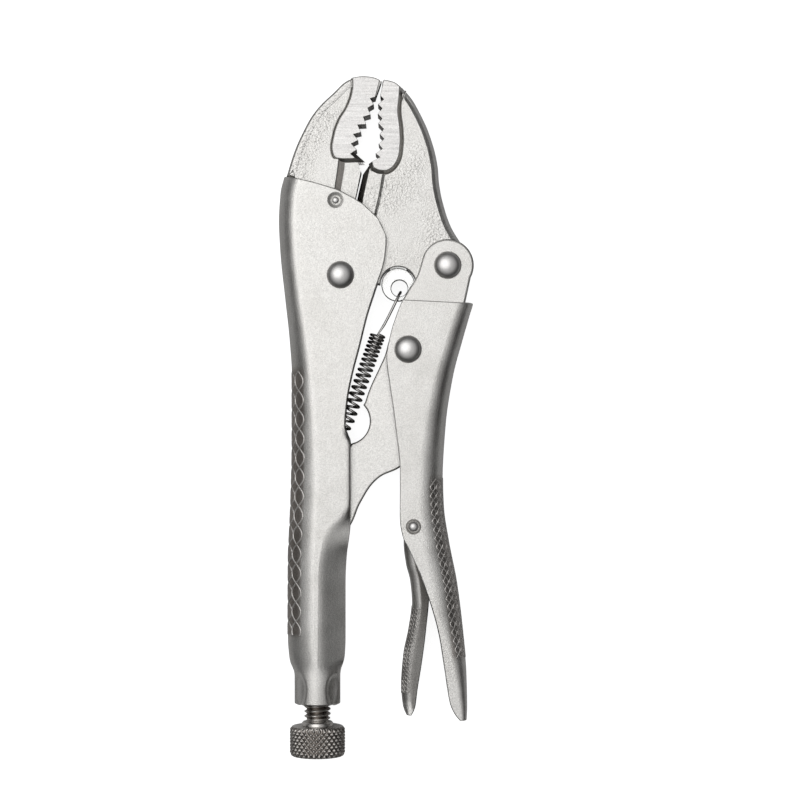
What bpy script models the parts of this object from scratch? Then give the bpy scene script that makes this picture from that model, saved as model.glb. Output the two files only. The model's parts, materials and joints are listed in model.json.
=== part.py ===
"""Locking pliers, curved jaw with wire cutter, lying flat with the jaws along +Y.

Lengths in the tables and constants are millimetres times mm, so the model is in metres.
X runs across the handles, Y along the tool, Z through its thickness. The drawing's zero
is the jaw pivot at mid thickness; set_on_origin() moves the finished tool so that the
world origin is under the middle of its footprint.
"""

from math import asin, cos, hypot, pi, radians, sin

import bmesh
import bpy
from mathutils import Vector

mm = 0.001

# Driving sizes
handleLength = 156.3 * mm  # jaw pivot to the end of the collar
collarLength = 10.7 * mm
collarWall = 1.7 * mm
gap = 0.3 * mm  # clearance between pieces that touch or slide
jawThickness = 12.0 * mm
handleWall = 2.2 * mm
leverWall = 2.0 * mm
leverBend = 7.8 * mm  # corner radius of the lever's spine where it is roundest
earRadius = 9.5 * mm
joggle = 1.0 * mm  # how far the lever's ears are set in from its sides
padHeight = 1.0 * mm  # the toothed faces stand this proud of the jaws
linkThickness = 10.0 * mm
releaseWall = 1.5 * mm
rivetShaft = 3.4 * mm  # radius
rivetHead = 4.95 * mm  # radius
domeHeight = 2.9 * mm
smallShaft = 1.6 * mm
smallHead = 2.1 * mm
smallDome = 1.3 * mm
smallSeat = 2.8 * mm  # radius of the ring pressed around the small rivet
seatDepth = 0.8 * mm
rearRise = 0.9 * mm  # how far the rear rivet heads stand out behind the widest piece
pinRadius = 1.3 * mm
pinSink = 2.8 * mm  # radius of the countersink around the jaw pin
screwRadius = 4.9 * mm
knobRadius = 10.2 * mm
knobLength = 11.1 * mm
neckRadius = 6.0 * mm
neckLength = 1.6 * mm
screwStandout = 6.6 * mm  # bare thread between the collar and the knob's neck
insertWall = 1.2 * mm
wireRadius = 0.6 * mm
coilRadius = 2.3 * mm  # to the middle of the wire
coilTurns = 15
toothDepth = 1.7 * mm
tipRest = 3.0 * mm  # free space between the link's nose and the screw's tip

# Pivots, seen from +Z
jawPivot = Vector((0.0, 0.0)) * mm
leverPivot = Vector((38.9, 3.5)) * mm
linkPivot = Vector((24.5, -27.0)) * mm
releasePivot = Vector((26.5, -91.3)) * mm
jawPin = Vector((-1.8, 27.0)) * mm
springHole = Vector((21.4, -4.6)) * mm
springLobe = Vector((20.9, -3.3)) * mm
springHoleRadius = 3.1 * mm
springLobeRadius = 6.2 * mm
springAnchor = Vector((-2.6, -62.0)) * mm
screwX = -8.6 * mm
linkEnd = Vector((-8.6, -97.0)) * mm  # the link's nose, on the screw's axis
linkNose = 4.6 * mm  # radius

# What follows from them
collarEnd = -handleLength
collarTop = collarEnd + collarLength
handleInner = jawThickness / 2 + gap
handleHalf = handleInner + handleWall
spineRadius = handleHalf - 0.6 * mm
tubeRadius = handleHalf - 1.0 * mm
earInner = jawThickness / 2 + gap
earHalf = earInner + leverWall
leverHalf = earHalf + joggle
leverInner = leverHalf - leverWall
releaseHalf = leverInner - gap
releaseInner = releaseHalf - releaseWall
padHalf = jawThickness / 2 + padHeight
restLevel = max(handleHalf, leverHalf, earHalf) + rearRise
insertOuter = screwRadius + gap + insertWall
collarInner = insertOuter + gap
collarOuter = collarInner + collarWall
knobTop = collarEnd - screwStandout - neckLength
tipY = linkEnd.y - linkNose - tipRest
beyond = 30 * mm  # how far cutters run past what they cut

parts = None
cutters = None


# ---------------------------------------------------------------- helpers
def clear_scene():
    for item in list(bpy.data.objects):
        bpy.data.objects.remove(item)


def new_collection(name, hidden=False):
    made = bpy.data.collections.new(name)
    bpy.context.scene.collection.children.link(made)
    made.hide_render = hidden
    return made


def metal(name, colour, roughness):
    made = bpy.data.materials.new(name)
    made.use_nodes = True
    shader = made.node_tree.nodes["Principled BSDF"]
    shader.inputs["Base Color"].default_value = (*colour, 1)
    shader.inputs["Metallic"].default_value = 1
    shader.inputs["Roughness"].default_value = roughness
    return made


def mesh_object(name, mesh, cutter=False):
    made = bpy.data.objects.new(name, mesh)
    (cutters if cutter else parts).objects.link(made)
    if cutter:
        made.hide_render = True
        made.display_type = "WIRE"
    return made


def blade(name, outline, low, high, cutter=False, steps=4):
    """A flat outline from low to high. A point is (x, y) in mm, smooth, or (x, y, 1) at a corner."""
    curve = bpy.data.curves.new(name, "CURVE")
    curve.dimensions = "2D"
    curve.fill_mode = "BOTH"
    curve.extrude = (high - low) / 2
    curve.resolution_u = steps
    spline = curve.splines.new("BEZIER")
    spline.bezier_points.add(len(outline) - 1)
    spline.use_cyclic_u = True
    for point, where in zip(spline.bezier_points, outline):
        point.co = (where[0] * mm, where[1] * mm, 0)
        kind = "VECTOR" if len(where) > 2 else "AUTO"
        point.handle_left_type = kind
        point.handle_right_type = kind
    holder = bpy.data.objects.new(name + "_curve", curve)
    bpy.context.scene.collection.objects.link(holder)
    holder.location.z = (high + low) / 2
    return solid_from_curve(name, holder, cutter)


def solid_from_curve(name, holder, cutter=False):
    bpy.context.view_layer.update()
    graph = bpy.context.evaluated_depsgraph_get()
    mesh = bpy.data.meshes.new_from_object(holder.evaluated_get(graph))
    mesh.transform(holder.matrix_world)
    bpy.data.objects.remove(holder)
    form = bmesh.new()
    form.from_mesh(mesh)
    bmesh.ops.remove_doubles(form, verts=form.verts, dist=1e-6)
    thin = [e for e in form.edges if e.calc_length() < 1e-6]
    bmesh.ops.dissolve_degenerate(form, edges=thin, dist=1e-6)
    form.to_mesh(mesh)
    form.free()
    mesh.materials.clear()
    return mesh_object(name, mesh, cutter)


def loft(name, rings, cutter=False):
    """A closed solid through rings of points, each ring the same length."""
    form = bmesh.new()
    rows = [[form.verts.new(point) for point in ring] for ring in rings]
    count = len(rows[0])
    for low, high in zip(rows, rows[1:]):
        for i in range(count):
            j = (i + 1) % count
            form.faces.new((low[i], low[j], high[j], high[i]))
    form.faces.new(rows[0])
    form.faces.new(rows[-1])
    bmesh.ops.recalc_face_normals(form, faces=form.faces)
    mesh = bpy.data.meshes.new(name)
    form.to_mesh(mesh)
    form.free()
    return mesh_object(name, mesh, cutter)


def section(y, left, right, half, leftRadius, rightRadius, corner=6):
    """One ring across the tool at y: a rounded box from left to right, half thick each way."""
    corners = (
        (right - rightRadius, half - rightRadius, rightRadius, 0),
        (left + leftRadius, half - leftRadius, leftRadius, 90),
        (left + leftRadius, leftRadius - half, leftRadius, 180),
        (right - rightRadius, rightRadius - half, rightRadius, 270),
    )
    ring = []
    for x, z, radius, start in corners:
        for step in range(corner + 1):
            turn = radians(start + 90 * step / corner)
            ring.append((x + radius * cos(turn), y, z + radius * sin(turn)))
    return ring


def turned(name, profile, centre, along="z", steps=32, cutter=False, ring=False):
    """A turned piece: (radius, height) pairs from the top down its outer side; a ring closes on itself."""
    mesh = bpy.data.meshes.new(name)
    points = [(radius, 0, height) for radius, height in profile]
    edges = [(i, i + 1) for i in range(len(points) - 1)]
    if ring:
        edges.append((len(points) - 1, 0))
    mesh.from_pydata(points, edges, [])
    made = mesh_object(name, mesh, cutter)
    spin = made.modifiers.new("turn", "SCREW")
    spin.axis = "Z"
    spin.steps = steps
    spin.render_steps = steps
    spin.use_merge_vertices = True
    spin.merge_threshold = 1e-6
    made.location = (centre[0], centre[1], 0)
    if along == "y":
        made.rotation_euler.x = -pi / 2
    return made


def rod(name, centre, radius, low, high, along="z", steps=32):
    profile = [(0, high), (radius, high), (radius, low), (0, low)]
    return turned(name, profile, centre, along, steps, cutter=True)


def boolean(target, tool, operation):
    hang(tool, target)
    change = target.modifiers.new(tool.name, "BOOLEAN")
    change.operation = operation
    change.object = tool
    change.solver = "EXACT"


def cut(target, *tools):
    for tool in tools:
        boolean(target, tool, "DIFFERENCE")


def join(target, *tools):
    for tool in tools:
        boolean(target, tool, "UNION")


def keep(target, tool):
    boolean(target, tool, "INTERSECT")


def finish(made, surface, smooth=30):
    mesh = made.data
    mesh.materials.clear()
    mesh.materials.append(surface)
    mesh.shade_smooth()
    mesh.set_sharp_from_angle(angle=radians(smooth))
    return made


def hang(made, parent):
    """Parents a piece to a joint's empty without moving it."""
    bpy.context.view_layer.update()
    made.parent = parent
    made.matrix_parent_inverse = parent.matrix_world.inverted()


def empty(name, place, parent=None):
    made = bpy.data.objects.new(name, None)
    made.empty_display_size = 10 * mm
    bpy.context.scene.collection.objects.link(made)
    made.location = (place[0], place[1], 0)
    if parent:
        hang(made, parent)
    return made


def arc(centre, radius, start, end, steps):
    """Corner points in mm on an arc about a point in metres, angles in degrees."""
    turns = [radians(start + (end - start) * i / steps) for i in range(steps + 1)]
    return [((centre[0] + radius * cos(t)) / mm, (centre[1] + radius * sin(t)) / mm, 1) for t in turns]


def toothed(line, pitch, side):
    """Teeth along a line of (x, y) mm points: tips on the line, roots toothDepth to one side."""
    tips = []
    for (x0, y0), (x1, y1) in zip(line, line[1:]):
        length = hypot(x1 - x0, y1 - y0)
        count = max(1, round(length / pitch))
        tips += [(x0 + (x1 - x0) * i / count, y0 + (y1 - y0) * i / count) for i in range(count)]
    tips.append(line[-1])
    points = []
    for (x0, y0), (x1, y1) in zip(tips, tips[1:]):
        root = (x0 + x1) / 2 + side * toothDepth / mm, (y0 + y1) / 2
        points += [(x0, y0, 1), (*root, 1)]
    return points + [(*tips[-1], 1)]


# ---------------------------------------------------------------- fixed handle
def spine_stations():
    """The fixed handle down its length: y, back of the spine, front, back and front radius, all mm."""
    tube = tubeRadius / mm
    low = collarTop / mm
    lip = 2.6
    back = spineRadius / mm
    return [
        (36.5, -20.6, 40, back, 1),
        (30.4, -22.1, 40, back, 1),
        (20.0, -22.7, 40, back, 1),
        (9.0, -22.2, 40, back, 1),
        (-8.4, -20.4, 40, back, 1),
        (-23.2, -18.8, 40, back, 1),
        (-38.0, -17.9, 40, back, 1),
        (-56.0, -17.9, 40, back, 1),
        (-57.0, -17.9, 3.6, back, 1.2),
        (-62.0, -17.9, 3.7, back, lip),
        (-80.0, -18.3, 3.7, back, lip),
        (-88.0, -18.7, 3.6, back, lip + 1),
        (-94.2, -18.9, 3.1, back, tube - 2),
        (-103.1, -19.3, 2.0, back, tube),
        (-112.0, -19.4, 1.6, back, tube),
        (low + 12.6, -19.4, 1.6, back, tube),
        (low + 6.3, -18.7, 1.3, back, tube),
        (low + 1.8, -17.2, 0.4, back, tube),
    ]


def handle_ring(station, inset, opened=False):
    """One ring of the fixed handle, inset from its outside; an opened ring runs out past the front."""
    y, left, right, backRadius, frontRadius = [value * mm for value in station]
    wide = right + beyond if opened else right - inset
    half = handleHalf - inset
    return section(y, left + inset, wide, half, backRadius - inset, max(frontRadius - inset, 0.3 * mm))


def collar_rings(radius, ends):
    rings = []
    for y in ends:
        ring = section(y, screwX - radius, screwX + radius, radius, radius - gap / 9, radius - gap / 9)
        rings.append(ring)
    return rings


def side_outline():
    """The fixed handle's walls from the side, right and top edges; the spine is left free."""
    top = [(-40, 36.0, 1), (-17.6, 35.5, 1), (-9.5, 33.6), (-1.0, 31.0), (7.0, 26.8), (13.3, 21.0)]
    cheek = [(16.7, 12.8), (16.1, 6.1), (12.7, -5.0), (9.7, -14.3), (6.8, -26.0), (4.2, -36.0)]
    grip = [(2.4, -45.4), (1.5, -56.4, 1), (4.5, -60.0, 1), (14, -64, 1)]
    below = (collarEnd - 10 * mm) / mm
    return top + cheek + grip + [(14, below, 1), (-40, below, 1)]


def fixed_handle(surface):
    outer = [handle_ring(s, 0) for s in spine_stations()]
    outer += collar_rings(collarOuter, (collarTop, collarEnd))
    made = loft("fixed_handle", outer)
    keep(made, blade("handle_side", side_outline(), -beyond, beyond, cutter=True))

    tubeStart = -90  # below this the folded sheet closes into a tube
    opened = [s for s in spine_stations() if s[0] > tubeStart]
    closed = [s for s in spine_stations() if s[0] < tubeStart]
    first, last = opened[0], closed[-1]
    inner = [handle_ring((first[0] + 5, *first[1:]), handleWall, True)]
    inner += [handle_ring(s, handleWall, True) for s in opened]
    inner += [handle_ring(s, handleWall) for s in closed[:-1]]
    inner += [handle_ring((last[0] + 1, *last[1:]), handleWall)]
    inner += collar_rings(collarInner, (collarTop + 1 * mm, collarEnd - 5 * mm))
    cut(made, loft("handle_hollow", inner, cutter=True))

    # The slot that the link swings in, its round end, and the folded sheet's seam below it
    slotHalf = linkThickness / 2 + 4 * gap
    slotEnd = linkEnd.y - 3 * mm
    slot = loft(
        "link_slot",
        [section(y, screwX, 14 * mm, slotHalf, 0.2 * mm, 0.2 * mm) for y in (-50 * mm, slotEnd)],
        cutter=True,
    )
    slotRound = rod("slot_round", (0, 0), slotHalf, screwX, 14 * mm)
    slotRound.rotation_euler.y = pi / 2
    slotRound.location = (0, slotEnd, 0)
    seamEnds = (slotEnd - slotHalf + 1 * mm, collarTop + 2 * mm)
    seam = loft(
        "handle_seam",
        [section(y, screwX + 6 * mm, 14 * mm, 0.4 * mm, 0.1 * mm, 0.1 * mm) for y in seamEnds],
        cutter=True,
    )
    cut(made, slot, slotRound, seam)

    cut(made, rod("jaw_rivet_hole", jawPivot, rivetShaft + gap, -beyond, beyond))
    cut(made, rod("jaw_pin_hole", jawPin, pinRadius + gap, -beyond, beyond, steps=16))
    sink = [(0, handleHalf + gap), (pinSink + gap, handleHalf + gap), (pinRadius, handleInner + gap)]
    sink.append((0, handleInner + gap))
    cut(made, turned("jaw_pin_sink", sink, jawPin, steps=24, cutter=True))

    # Tab lanced from the rear wall, which the spring's lower loop hangs on
    x, y = springAnchor / mm
    tab = [(x - 0.9, y - 3.2, 1), (x + 0.9, y - 3.2, 1), (x + 0.9, y, 1), (x - 0.9, y, 1)]
    join(made, blade("spring_tab", tab, -handleInner - 1 * mm, 2.4 * mm, cutter=True))
    return finish(made, surface)


# ---------------------------------------------------------------- jaws
lugRadius = 10.5 * mm
gripLeft = [(12.7, 65.0), (11.0, 58.4), (7.3, 51.6), (5.9, 45.8), (6.3, 41.0)]
gripRight = [(14.4, 65.4), (13.5, 58.7), (14.2, 51.0), (12.9, 44.2), (11.2, 41.2)]
toothPitch = 3.5


def shank_inset():
    """How far a flat-sided shank stays from the back of the rounded spine to clear its inside."""
    bend = spineRadius - handleWall
    level = jawThickness / 2 + gap - (handleInner - bend)
    return handleWall + gap + bend - (bend * bend - level * level) ** 0.5


def fixed_jaw_outline():
    nose = [(14.9, 71.2, 1), (12.4, 72.1), (8.0, 72.6), (3.6, 71.7)]
    back = [(-3.3, 66.1), (-9.6, 59.6), (-14.0, 52.0), (-17.0, 45.2), (-19.8, 36.2, 1)]
    inner = shank_inset() / mm
    shank = [(-20.4 + inner, 34.9, 1), (-22.1 + inner, 28.0), (-22.7 + inner, 19.0)]
    shank += [(-22.0 + inner, 8.0), (-21.0 + inner, 1.0, 1)]
    around = arc(jawPivot, lugRadius + gap, 175, 74, 10)
    edge = [(5.6, 28.5, 1), (7.6, 37.3, 1)]
    grip = list(reversed(toothed(gripLeft, toothPitch, -1)))
    return nose + back + shank + around + edge + grip


def movable_jaw_outline():
    grip = toothed(gripRight, toothPitch, 1)
    edge = [(8.0, 37.0, 1), (6.0, 28.5, 1)]
    lug = arc(jawPivot, lugRadius, 70, 345, 22)
    lobe = arc(springLobe, springLobeRadius, 215, 322, 8)
    end = arc(leverPivot, 8.4 * mm, 235, 385, 10)
    back = [(43.6, 12.2), (40.3, 17.8), (37.6, 25.5), (36.0, 33.0), (35.3, 40.5), (33.0, 49.8)]
    top = [(29.3, 58.6), (24.2, 66.8), (19.8, 70.4), (15.3, 71.5, 1)]
    return grip + edge + lug + lobe + end + back + top


def pad_outline(line, side, far):
    """A toothed face: its gripping edge is the jaw's, and far is its other side, top to bottom."""
    return toothed(line, toothPitch, side) + list(reversed(far))


def cutter_edge(name, face):
    """A wedge that opens the wire cutter's bevels on one face of both jaws."""
    deep = jawThickness / 2 - gap
    low = (6.0 * mm, 27.5 * mm)
    high = (8.9 * mm, 40.0 * mm)
    wide = 1.7 * mm
    rings = []
    for x, y in (low, high):
        top = face * (jawThickness / 2 + 2 * mm)
        deepest = face * (jawThickness / 2 - deep)
        spread = wide * (1 + 2 * mm / deep)
        rings.append([(x - spread, y, top), (x + spread, y, top), (x + gap, y, deepest), (x, y, deepest)])
    return loft(name, rings, cutter=True)


def fixed_jaw(surface):
    half = jawThickness / 2
    made = blade("fixed_jaw", fixed_jaw_outline(), -half, half)
    far = [(4.4, 71.4, 1), (4.3, 67.5), (2.5, 61.5), (-0.7, 56.0), (-2.6, 50.0), (-3.0, 44.5), (-1.6, 42.4)]
    far.append((5.2, 42.2, 1))
    pad = [(14.3, 70.4, 1)] + pad_outline(gripLeft[:-1] + [(6.2, 42.2)], -1, far)
    join(made, blade("fixed_pad", pad, -padHalf, padHalf, cutter=True))
    cut(made, cutter_edge("cutter_front_fixed", 1), cutter_edge("cutter_rear_fixed", -1))
    cut(made, rod("pin_hole_in_jaw", jawPin, pinRadius + gap, -beyond, beyond, steps=16))
    return finish(made, surface)


def movable_jaw(surface):
    half = jawThickness / 2
    made = blade("movable_jaw", movable_jaw_outline(), -half, half)
    far = [(20.4, 69.2, 1), (21.6, 64.0), (20.5, 58.0), (21.3, 50.0)]
    far += [(21.0, 44.0), (19.0, 40.0), (15.5, 38.0), (11.6, 39.0, 1)]
    pad = [(15.6, 70.9, 1)] + pad_outline(gripRight, 1, far)
    join(made, blade("movable_pad", pad, -padHalf, padHalf, cutter=True))
    cut(made, cutter_edge("cutter_front_movable", 1), cutter_edge("cutter_rear_movable", -1))
    for face in (1, -1):
        low, high = sorted((face * 2 * mm, face * (half + 1 * mm)))
        recess = rod(f"lobe_recess_{face}", springLobe, springLobeRadius + gap, low, high, steps=32)
        cut(made, recess)
    cut(made, rod("spring_hole", springHole, springHoleRadius, -beyond, beyond, steps=24))
    cut(made, rod("jaw_bore", jawPivot, rivetShaft + gap, -beyond, beyond))
    cut(made, rod("jaw_lever_bore", leverPivot, rivetShaft + gap, -beyond, beyond))
    return finish(made, surface)


# ---------------------------------------------------------------- lever handle
def lever_stations():
    """The lever down its length: y, back of the spine on the right, its corner radius, all mm."""
    soft = min(leverBend, leverHalf - gap) / mm
    return [
        (-4.0, 51.6, soft),
        (-11.8, 48.0, soft),
        (-24.0, 44.3, soft),
        (-36.6, 41.0, soft),
        (-54.6, 38.3, soft),
        (-75.0, 37.2, soft),
        (-84.2, 37.5, soft),
        (-97.2, 39.4, soft - 1),
        (-112.0, 42.3, soft - 2),
        (-129.7, 44.5, soft - 3),
        (-145.3, 45.8, soft - 4),
        (-156.4, 45.9, soft - 4.5),
        (-170.0, 45.9, soft - 4.5),
    ]


def lever_rings(inset):
    rings = []
    left = -5 * mm if inset else 0
    for y, back, radius in lever_stations():
        around = max(radius * mm - inset, 0.5 * mm)
        rings.append(section(y * mm, left, back * mm - inset, leverHalf - inset, 0.5 * mm, around))
    return rings


def lever_outline():
    """The lever's walls from the side: free edge on the left, then the tail; the spine is left free."""
    top = [(60, -12.0, 1), (48.0, -12.0, 1), (45.1, -8.7, 1), (41.7, -9.9, 1), (23.0, -8.7, 1)]
    edge = [(20.7, -13.5), (18.2, -21.3), (16.7, -30.0), (17.8, -39.2), (19.7, -52.7), (21.6, -72.0)]
    heel = [(21.4, -88.0), (22.4, -94.4), (25.3, -100.1), (30.5, -112.8), (35.6, -129.9), (37.9, -144.4)]
    tail = [(39.7, -155.5), (41.5, -159.4), (44.2, -162.1), (46.5, -161.8, 1), (60, -161.8, 1)]
    return top + edge + heel + tail


def lever_ear_outline():
    corner = [(45.0, -8.6, 1), (45.6, -14.0, 1), (22.2, -14.0, 1), (22.4, -9.4, 1)]
    left = [(24.9, -5.1), (28.0, 0.2)]
    return corner + left + list(reversed(arc(leverPivot, earRadius, -28, 160, 14)))


def lever_handle(surface):
    made = loft("lever_handle", lever_rings(0))
    keep(made, blade("lever_side", lever_outline(), -beyond, beyond, cutter=True))
    cut(made, loft("lever_hollow", lever_rings(leverWall), cutter=True))
    for face in (1, -1):
        low, high = sorted((face * earInner, face * earHalf))
        join(made, blade(f"lever_ear_{face}", lever_ear_outline(), low, high, cutter=True))
    cut(made, rod("lever_bore", leverPivot, rivetShaft + gap, -beyond, beyond))
    cut(made, rod("link_rivet_hole", linkPivot, rivetShaft + gap, -beyond, beyond))
    cut(made, rod("release_rivet_hole", releasePivot, smallShaft + gap, -beyond, beyond, steps=20))
    seat = rod("release_seat", releasePivot, smallSeat, leverHalf - seatDepth, leverHalf + 1 * mm, steps=24)
    cut(made, seat)
    return finish(made, surface)


# ---------------------------------------------------------------- link and release lever
def link_outline():
    head = arc(linkPivot, 7.6 * mm, 20, 160, 8)
    left = [(16.0, -29.4), (14.2, -33.4), (10.5, -41.5), (8.9, -46.2, 1)]
    notch = arc(Vector((2.2, -53.1)) * mm, 8.4 * mm, 44, -78, 10)
    neck = [(0.2, -66.5), (-8.0, -83.0)]
    nose = arc(linkEnd, linkNose, 165, 330, 10)
    belly = [(3.4, -91.3), (7.3, -82.7), (13.5, -74.1), (21.4, -70.1), (28.0, -65.0), (31.5, -52.0)]
    return head + left + notch + neck + nose + belly


def toggle_link(surface):
    half = linkThickness / 2
    made = blade("toggle_link", link_outline(), -half, half)
    boss = leverInner - gap
    join(made, rod("link_boss", linkPivot, 6.6 * mm, -boss, boss))
    cut(made, rod("link_bore", linkPivot, rivetShaft + gap, -beyond, beyond))
    return finish(made, surface)


releaseWeb = [(22.1, -151.0), (22.9, -139.1), (24.9, -128.8), (26.0, -120.0), (25.3, -111.3), (23.8, -105.4)]


def release_outline():
    nose = [(27.6, -70.9), (29.8, -73.4), (30.6, -80.0), (31.0, -92.0), (31.4, -104.0)]
    right = [(32.2, -116.0), (31.1, -128.8), (29.6, -140.5), (28.0, -150.5), (27.1, -157.2), (26.2, -160.1)]
    toe = [(24.4, -160.5), (22.7, -157.6)]
    heel = [(22.9, -97.5), (23.1, -90.0), (23.9, -82.0), (25.2, -73.6)]
    return nose + right + toe + releaseWeb + heel


def release_hollow():
    """What is taken out between the flanges: everything right of the web, and all but the nose on top."""
    wall = releaseWall / mm
    inner = [(x + wall, y) for x, y in releaseWeb]
    inner[0] = (*inner[0], 1)
    low = [(24.4 + wall, -159.0, 1), (40, -159.0, 1), (40, -75.4, 1), (20, -75.4, 1), (20, -99.0, 1)]
    return low + [(23.4 + wall, -99.0, 1)] + list(reversed(inner))


def release_lever(surface):
    made = blade("release_lever", release_outline(), -releaseHalf, releaseHalf)
    cut(made, blade("release_hollow", release_hollow(), -releaseInner, releaseInner, cutter=True))
    cut(made, rod("release_bore", releasePivot, smallShaft + gap, -beyond, beyond, steps=20))
    return finish(made, surface)


# ---------------------------------------------------------------- rivets and pin
def rivet(name, centre, surface, shaft, head, dome, seat, wall):
    """Domed head on seat in front, straight shank, and a flat head behind, down to the rest level."""
    top = seat + gap
    ball = (head * head + dome * dome) / (2 * dome)
    reach = asin(head / ball)
    profile = []
    for step in range(7):
        turn = reach * step / 6
        profile.append((ball * sin(turn), top + dome - ball + ball * cos(turn)))
    rear = -wall - gap
    profile += [(shaft, top), (shaft, rear), (head, rear), (head, -restLevel), (0, -restLevel)]
    return finish(turned(name, profile, centre), surface)


def jaw_stake_pin(surface):
    chamfer = 0.4 * mm
    high = handleHalf - 0.7 * mm
    low = -handleHalf
    profile = [(0, high + chamfer), (pinRadius - chamfer, high + chamfer), (pinRadius, high)]
    profile += [(pinRadius, low), (0, low)]
    return finish(turned("jaw_stake_pin", profile, jawPin, steps=16), surface)


# ---------------------------------------------------------------- screw, knob, insert
def threaded_insert(surface):
    high = collarTop - gap
    low = collarEnd + gap
    bore = screwRadius + gap
    centre = (screwX, 0)
    profile = [(bore, high), (insertOuter, high), (insertOuter, low), (bore, low)]
    return finish(turned("threaded_insert", profile, centre, "y", ring=True), surface)


def adjusting_screw(surface):
    tip = 1.2 * mm
    low = knobTop + gap
    centre = (screwX, 0)
    profile = [(0, tipY), (screwRadius - tip, tipY), (screwRadius, tipY - tip)]
    profile += [(screwRadius, low + neckLength), (neckRadius - gap, low + neckLength)]
    profile += [(neckRadius - gap, low), (0, low)]
    return finish(turned("adjusting_screw", profile, centre, "y"), surface)


def knurled_knob(surface):
    round_ = 1.2 * mm
    centre = (screwX, 0)
    low = knobTop - knobLength
    profile = [(0, knobTop), (knobRadius - round_, knobTop), (knobRadius, knobTop - round_)]
    profile += [(knobRadius, low + round_), (knobRadius - round_, low), (0, low)]
    return finish(turned("knurled_knob", profile, centre, "y", steps=48), surface)


# ---------------------------------------------------------------- spring
def return_spring(surface):
    """A drawn coil between two hooks: one through the jaw's lobe, one over the handle's tab."""
    start = Vector((13.4, -21.0)) * mm
    end = Vector((0.6, -57.4)) * mm
    way = (end - start).normalized()
    across = Vector((-way.y, way.x))
    length = (end - start).length
    perTurn = 10
    rim = wireRadius + gap + 2 * mm
    lowRim = springHole.y - springHoleRadius
    points = [
        (springHole.x - 0.4 * mm, springHole.y - 0.6 * mm, -rim - 1.2 * mm),
        (springHole.x - 0.2 * mm, springHole.y - 0.9 * mm, 0),
        (springHole.x - 0.4 * mm, lowRim + 1.2 * mm, rim),
        (springHole.x - 1.8 * mm, lowRim - 2.6 * mm, rim + 0.4 * mm),
    ]
    points.append((start.x + 1.6 * mm, start.y + 3.2 * mm, coilRadius * 0.9))
    total = coilTurns * perTurn
    for step in range(total + 1):
        turn = 2 * pi * step / perTurn
        place = start + way * (length * step / total) + across * (coilRadius * sin(turn))
        points.append((place.x, place.y, coilRadius * cos(turn)))
    hook = Vector(springAnchor)
    under = wireRadius + gap
    points += [
        (hook.x + 1.0 * mm, hook.y + 3.6 * mm, coilRadius * 0.6),
        (hook.x - 0.2 * mm, hook.y + under + 0.8 * mm, 0),
        (hook.x - 1.2 * mm, hook.y + under + 0.3 * mm, -1.6 * mm),
    ]
    curve = bpy.data.curves.new("return_spring", "CURVE")
    curve.dimensions = "3D"
    curve.bevel_depth = wireRadius
    curve.bevel_resolution = 2
    curve.use_fill_caps = True
    spline = curve.splines.new("POLY")
    spline.points.add(len(points) - 1)
    for point, place in zip(spline.points, points):
        point.co = (*place, 1)
    holder = bpy.data.objects.new("spring_curve", curve)
    bpy.context.scene.collection.objects.link(holder)
    return finish(solid_from_curve("return_spring", holder), surface, 50)


# ---------------------------------------------------------------- assembly
def set_on_origin(root):
    """Moves the tool so that the origin is under the middle of its footprint."""
    bpy.context.view_layer.update()
    graph = bpy.context.evaluated_depsgraph_get()
    corners = []
    for item in parts.objects:
        shown = item.evaluated_get(graph)
        corners += [shown.matrix_world @ vertex.co for vertex in shown.data.vertices]
    low = [min(c[i] for c in corners) for i in range(3)]
    high = [max(c[i] for c in corners) for i in range(3)]
    root.location = (-(low[0] + high[0]) / 2, -(low[1] + high[1]) / 2, -low[2])


def build():
    global parts, cutters
    clear_scene()
    parts = new_collection("locking_pliers")
    cutters = new_collection("cutters", hidden=True)

    nickel = metal("satin_nickel", (0.66, 0.65, 0.62), 0.38)
    forged = metal("forged_nickel", (0.60, 0.59, 0.56), 0.45)
    rivetSteel = metal("rivet_steel", (0.62, 0.61, 0.59), 0.28)
    springSteel = metal("spring_steel", (0.20, 0.19, 0.18), 0.35)
    screwSteel = metal("screw_steel", (0.42, 0.40, 0.38), 0.35)

    root = empty("tool", (0, 0))
    jawJoint = empty("jaw_joint", jawPivot, root)
    leverJoint = empty("lever_joint", leverPivot, jawJoint)
    linkJoint = empty("link_joint", linkPivot, leverJoint)
    releaseJoint = empty("release_joint", releasePivot, leverJoint)
    screwJoint = empty("screw_joint", (screwX, knobTop), root)

    big = dict(shaft=rivetShaft, head=rivetHead, dome=domeHeight)
    small = dict(shaft=smallShaft, head=smallHead, dome=smallDome)
    held = {
        root: [
            fixed_handle(nickel),
            fixed_jaw(forged),
            jaw_stake_pin(rivetSteel),
            rivet("jaw_pivot_rivet", jawPivot, rivetSteel, seat=handleHalf, wall=handleHalf, **big),
            threaded_insert(screwSteel),
            return_spring(springSteel),
        ],
        jawJoint: [
            movable_jaw(forged),
            rivet("lever_pivot_rivet", leverPivot, rivetSteel, seat=earHalf, wall=earHalf, **big),
        ],
        leverJoint: [
            lever_handle(nickel),
            rivet("link_pivot_rivet", linkPivot, rivetSteel, seat=leverHalf, wall=leverHalf, **big),
            rivet(
                "release_pivot_rivet",
                releasePivot,
                rivetSteel,
                seat=leverHalf - seatDepth,
                wall=leverHalf,
                **small,
            ),
        ],
        linkJoint: [toggle_link(nickel)],
        releaseJoint: [release_lever(nickel)],
        screwJoint: [adjusting_screw(screwSteel), knurled_knob(screwSteel)],
    }
    for joint, pieces in held.items():
        for piece in pieces:
            hang(piece, joint)
    set_on_origin(root)


build()
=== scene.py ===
import json
from math import cos, pi, radians, sin, sqrt

import bmesh
import bpy
from mathutils import Matrix, Vector
from mathutils.geometry import tessellate_polygon


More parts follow.
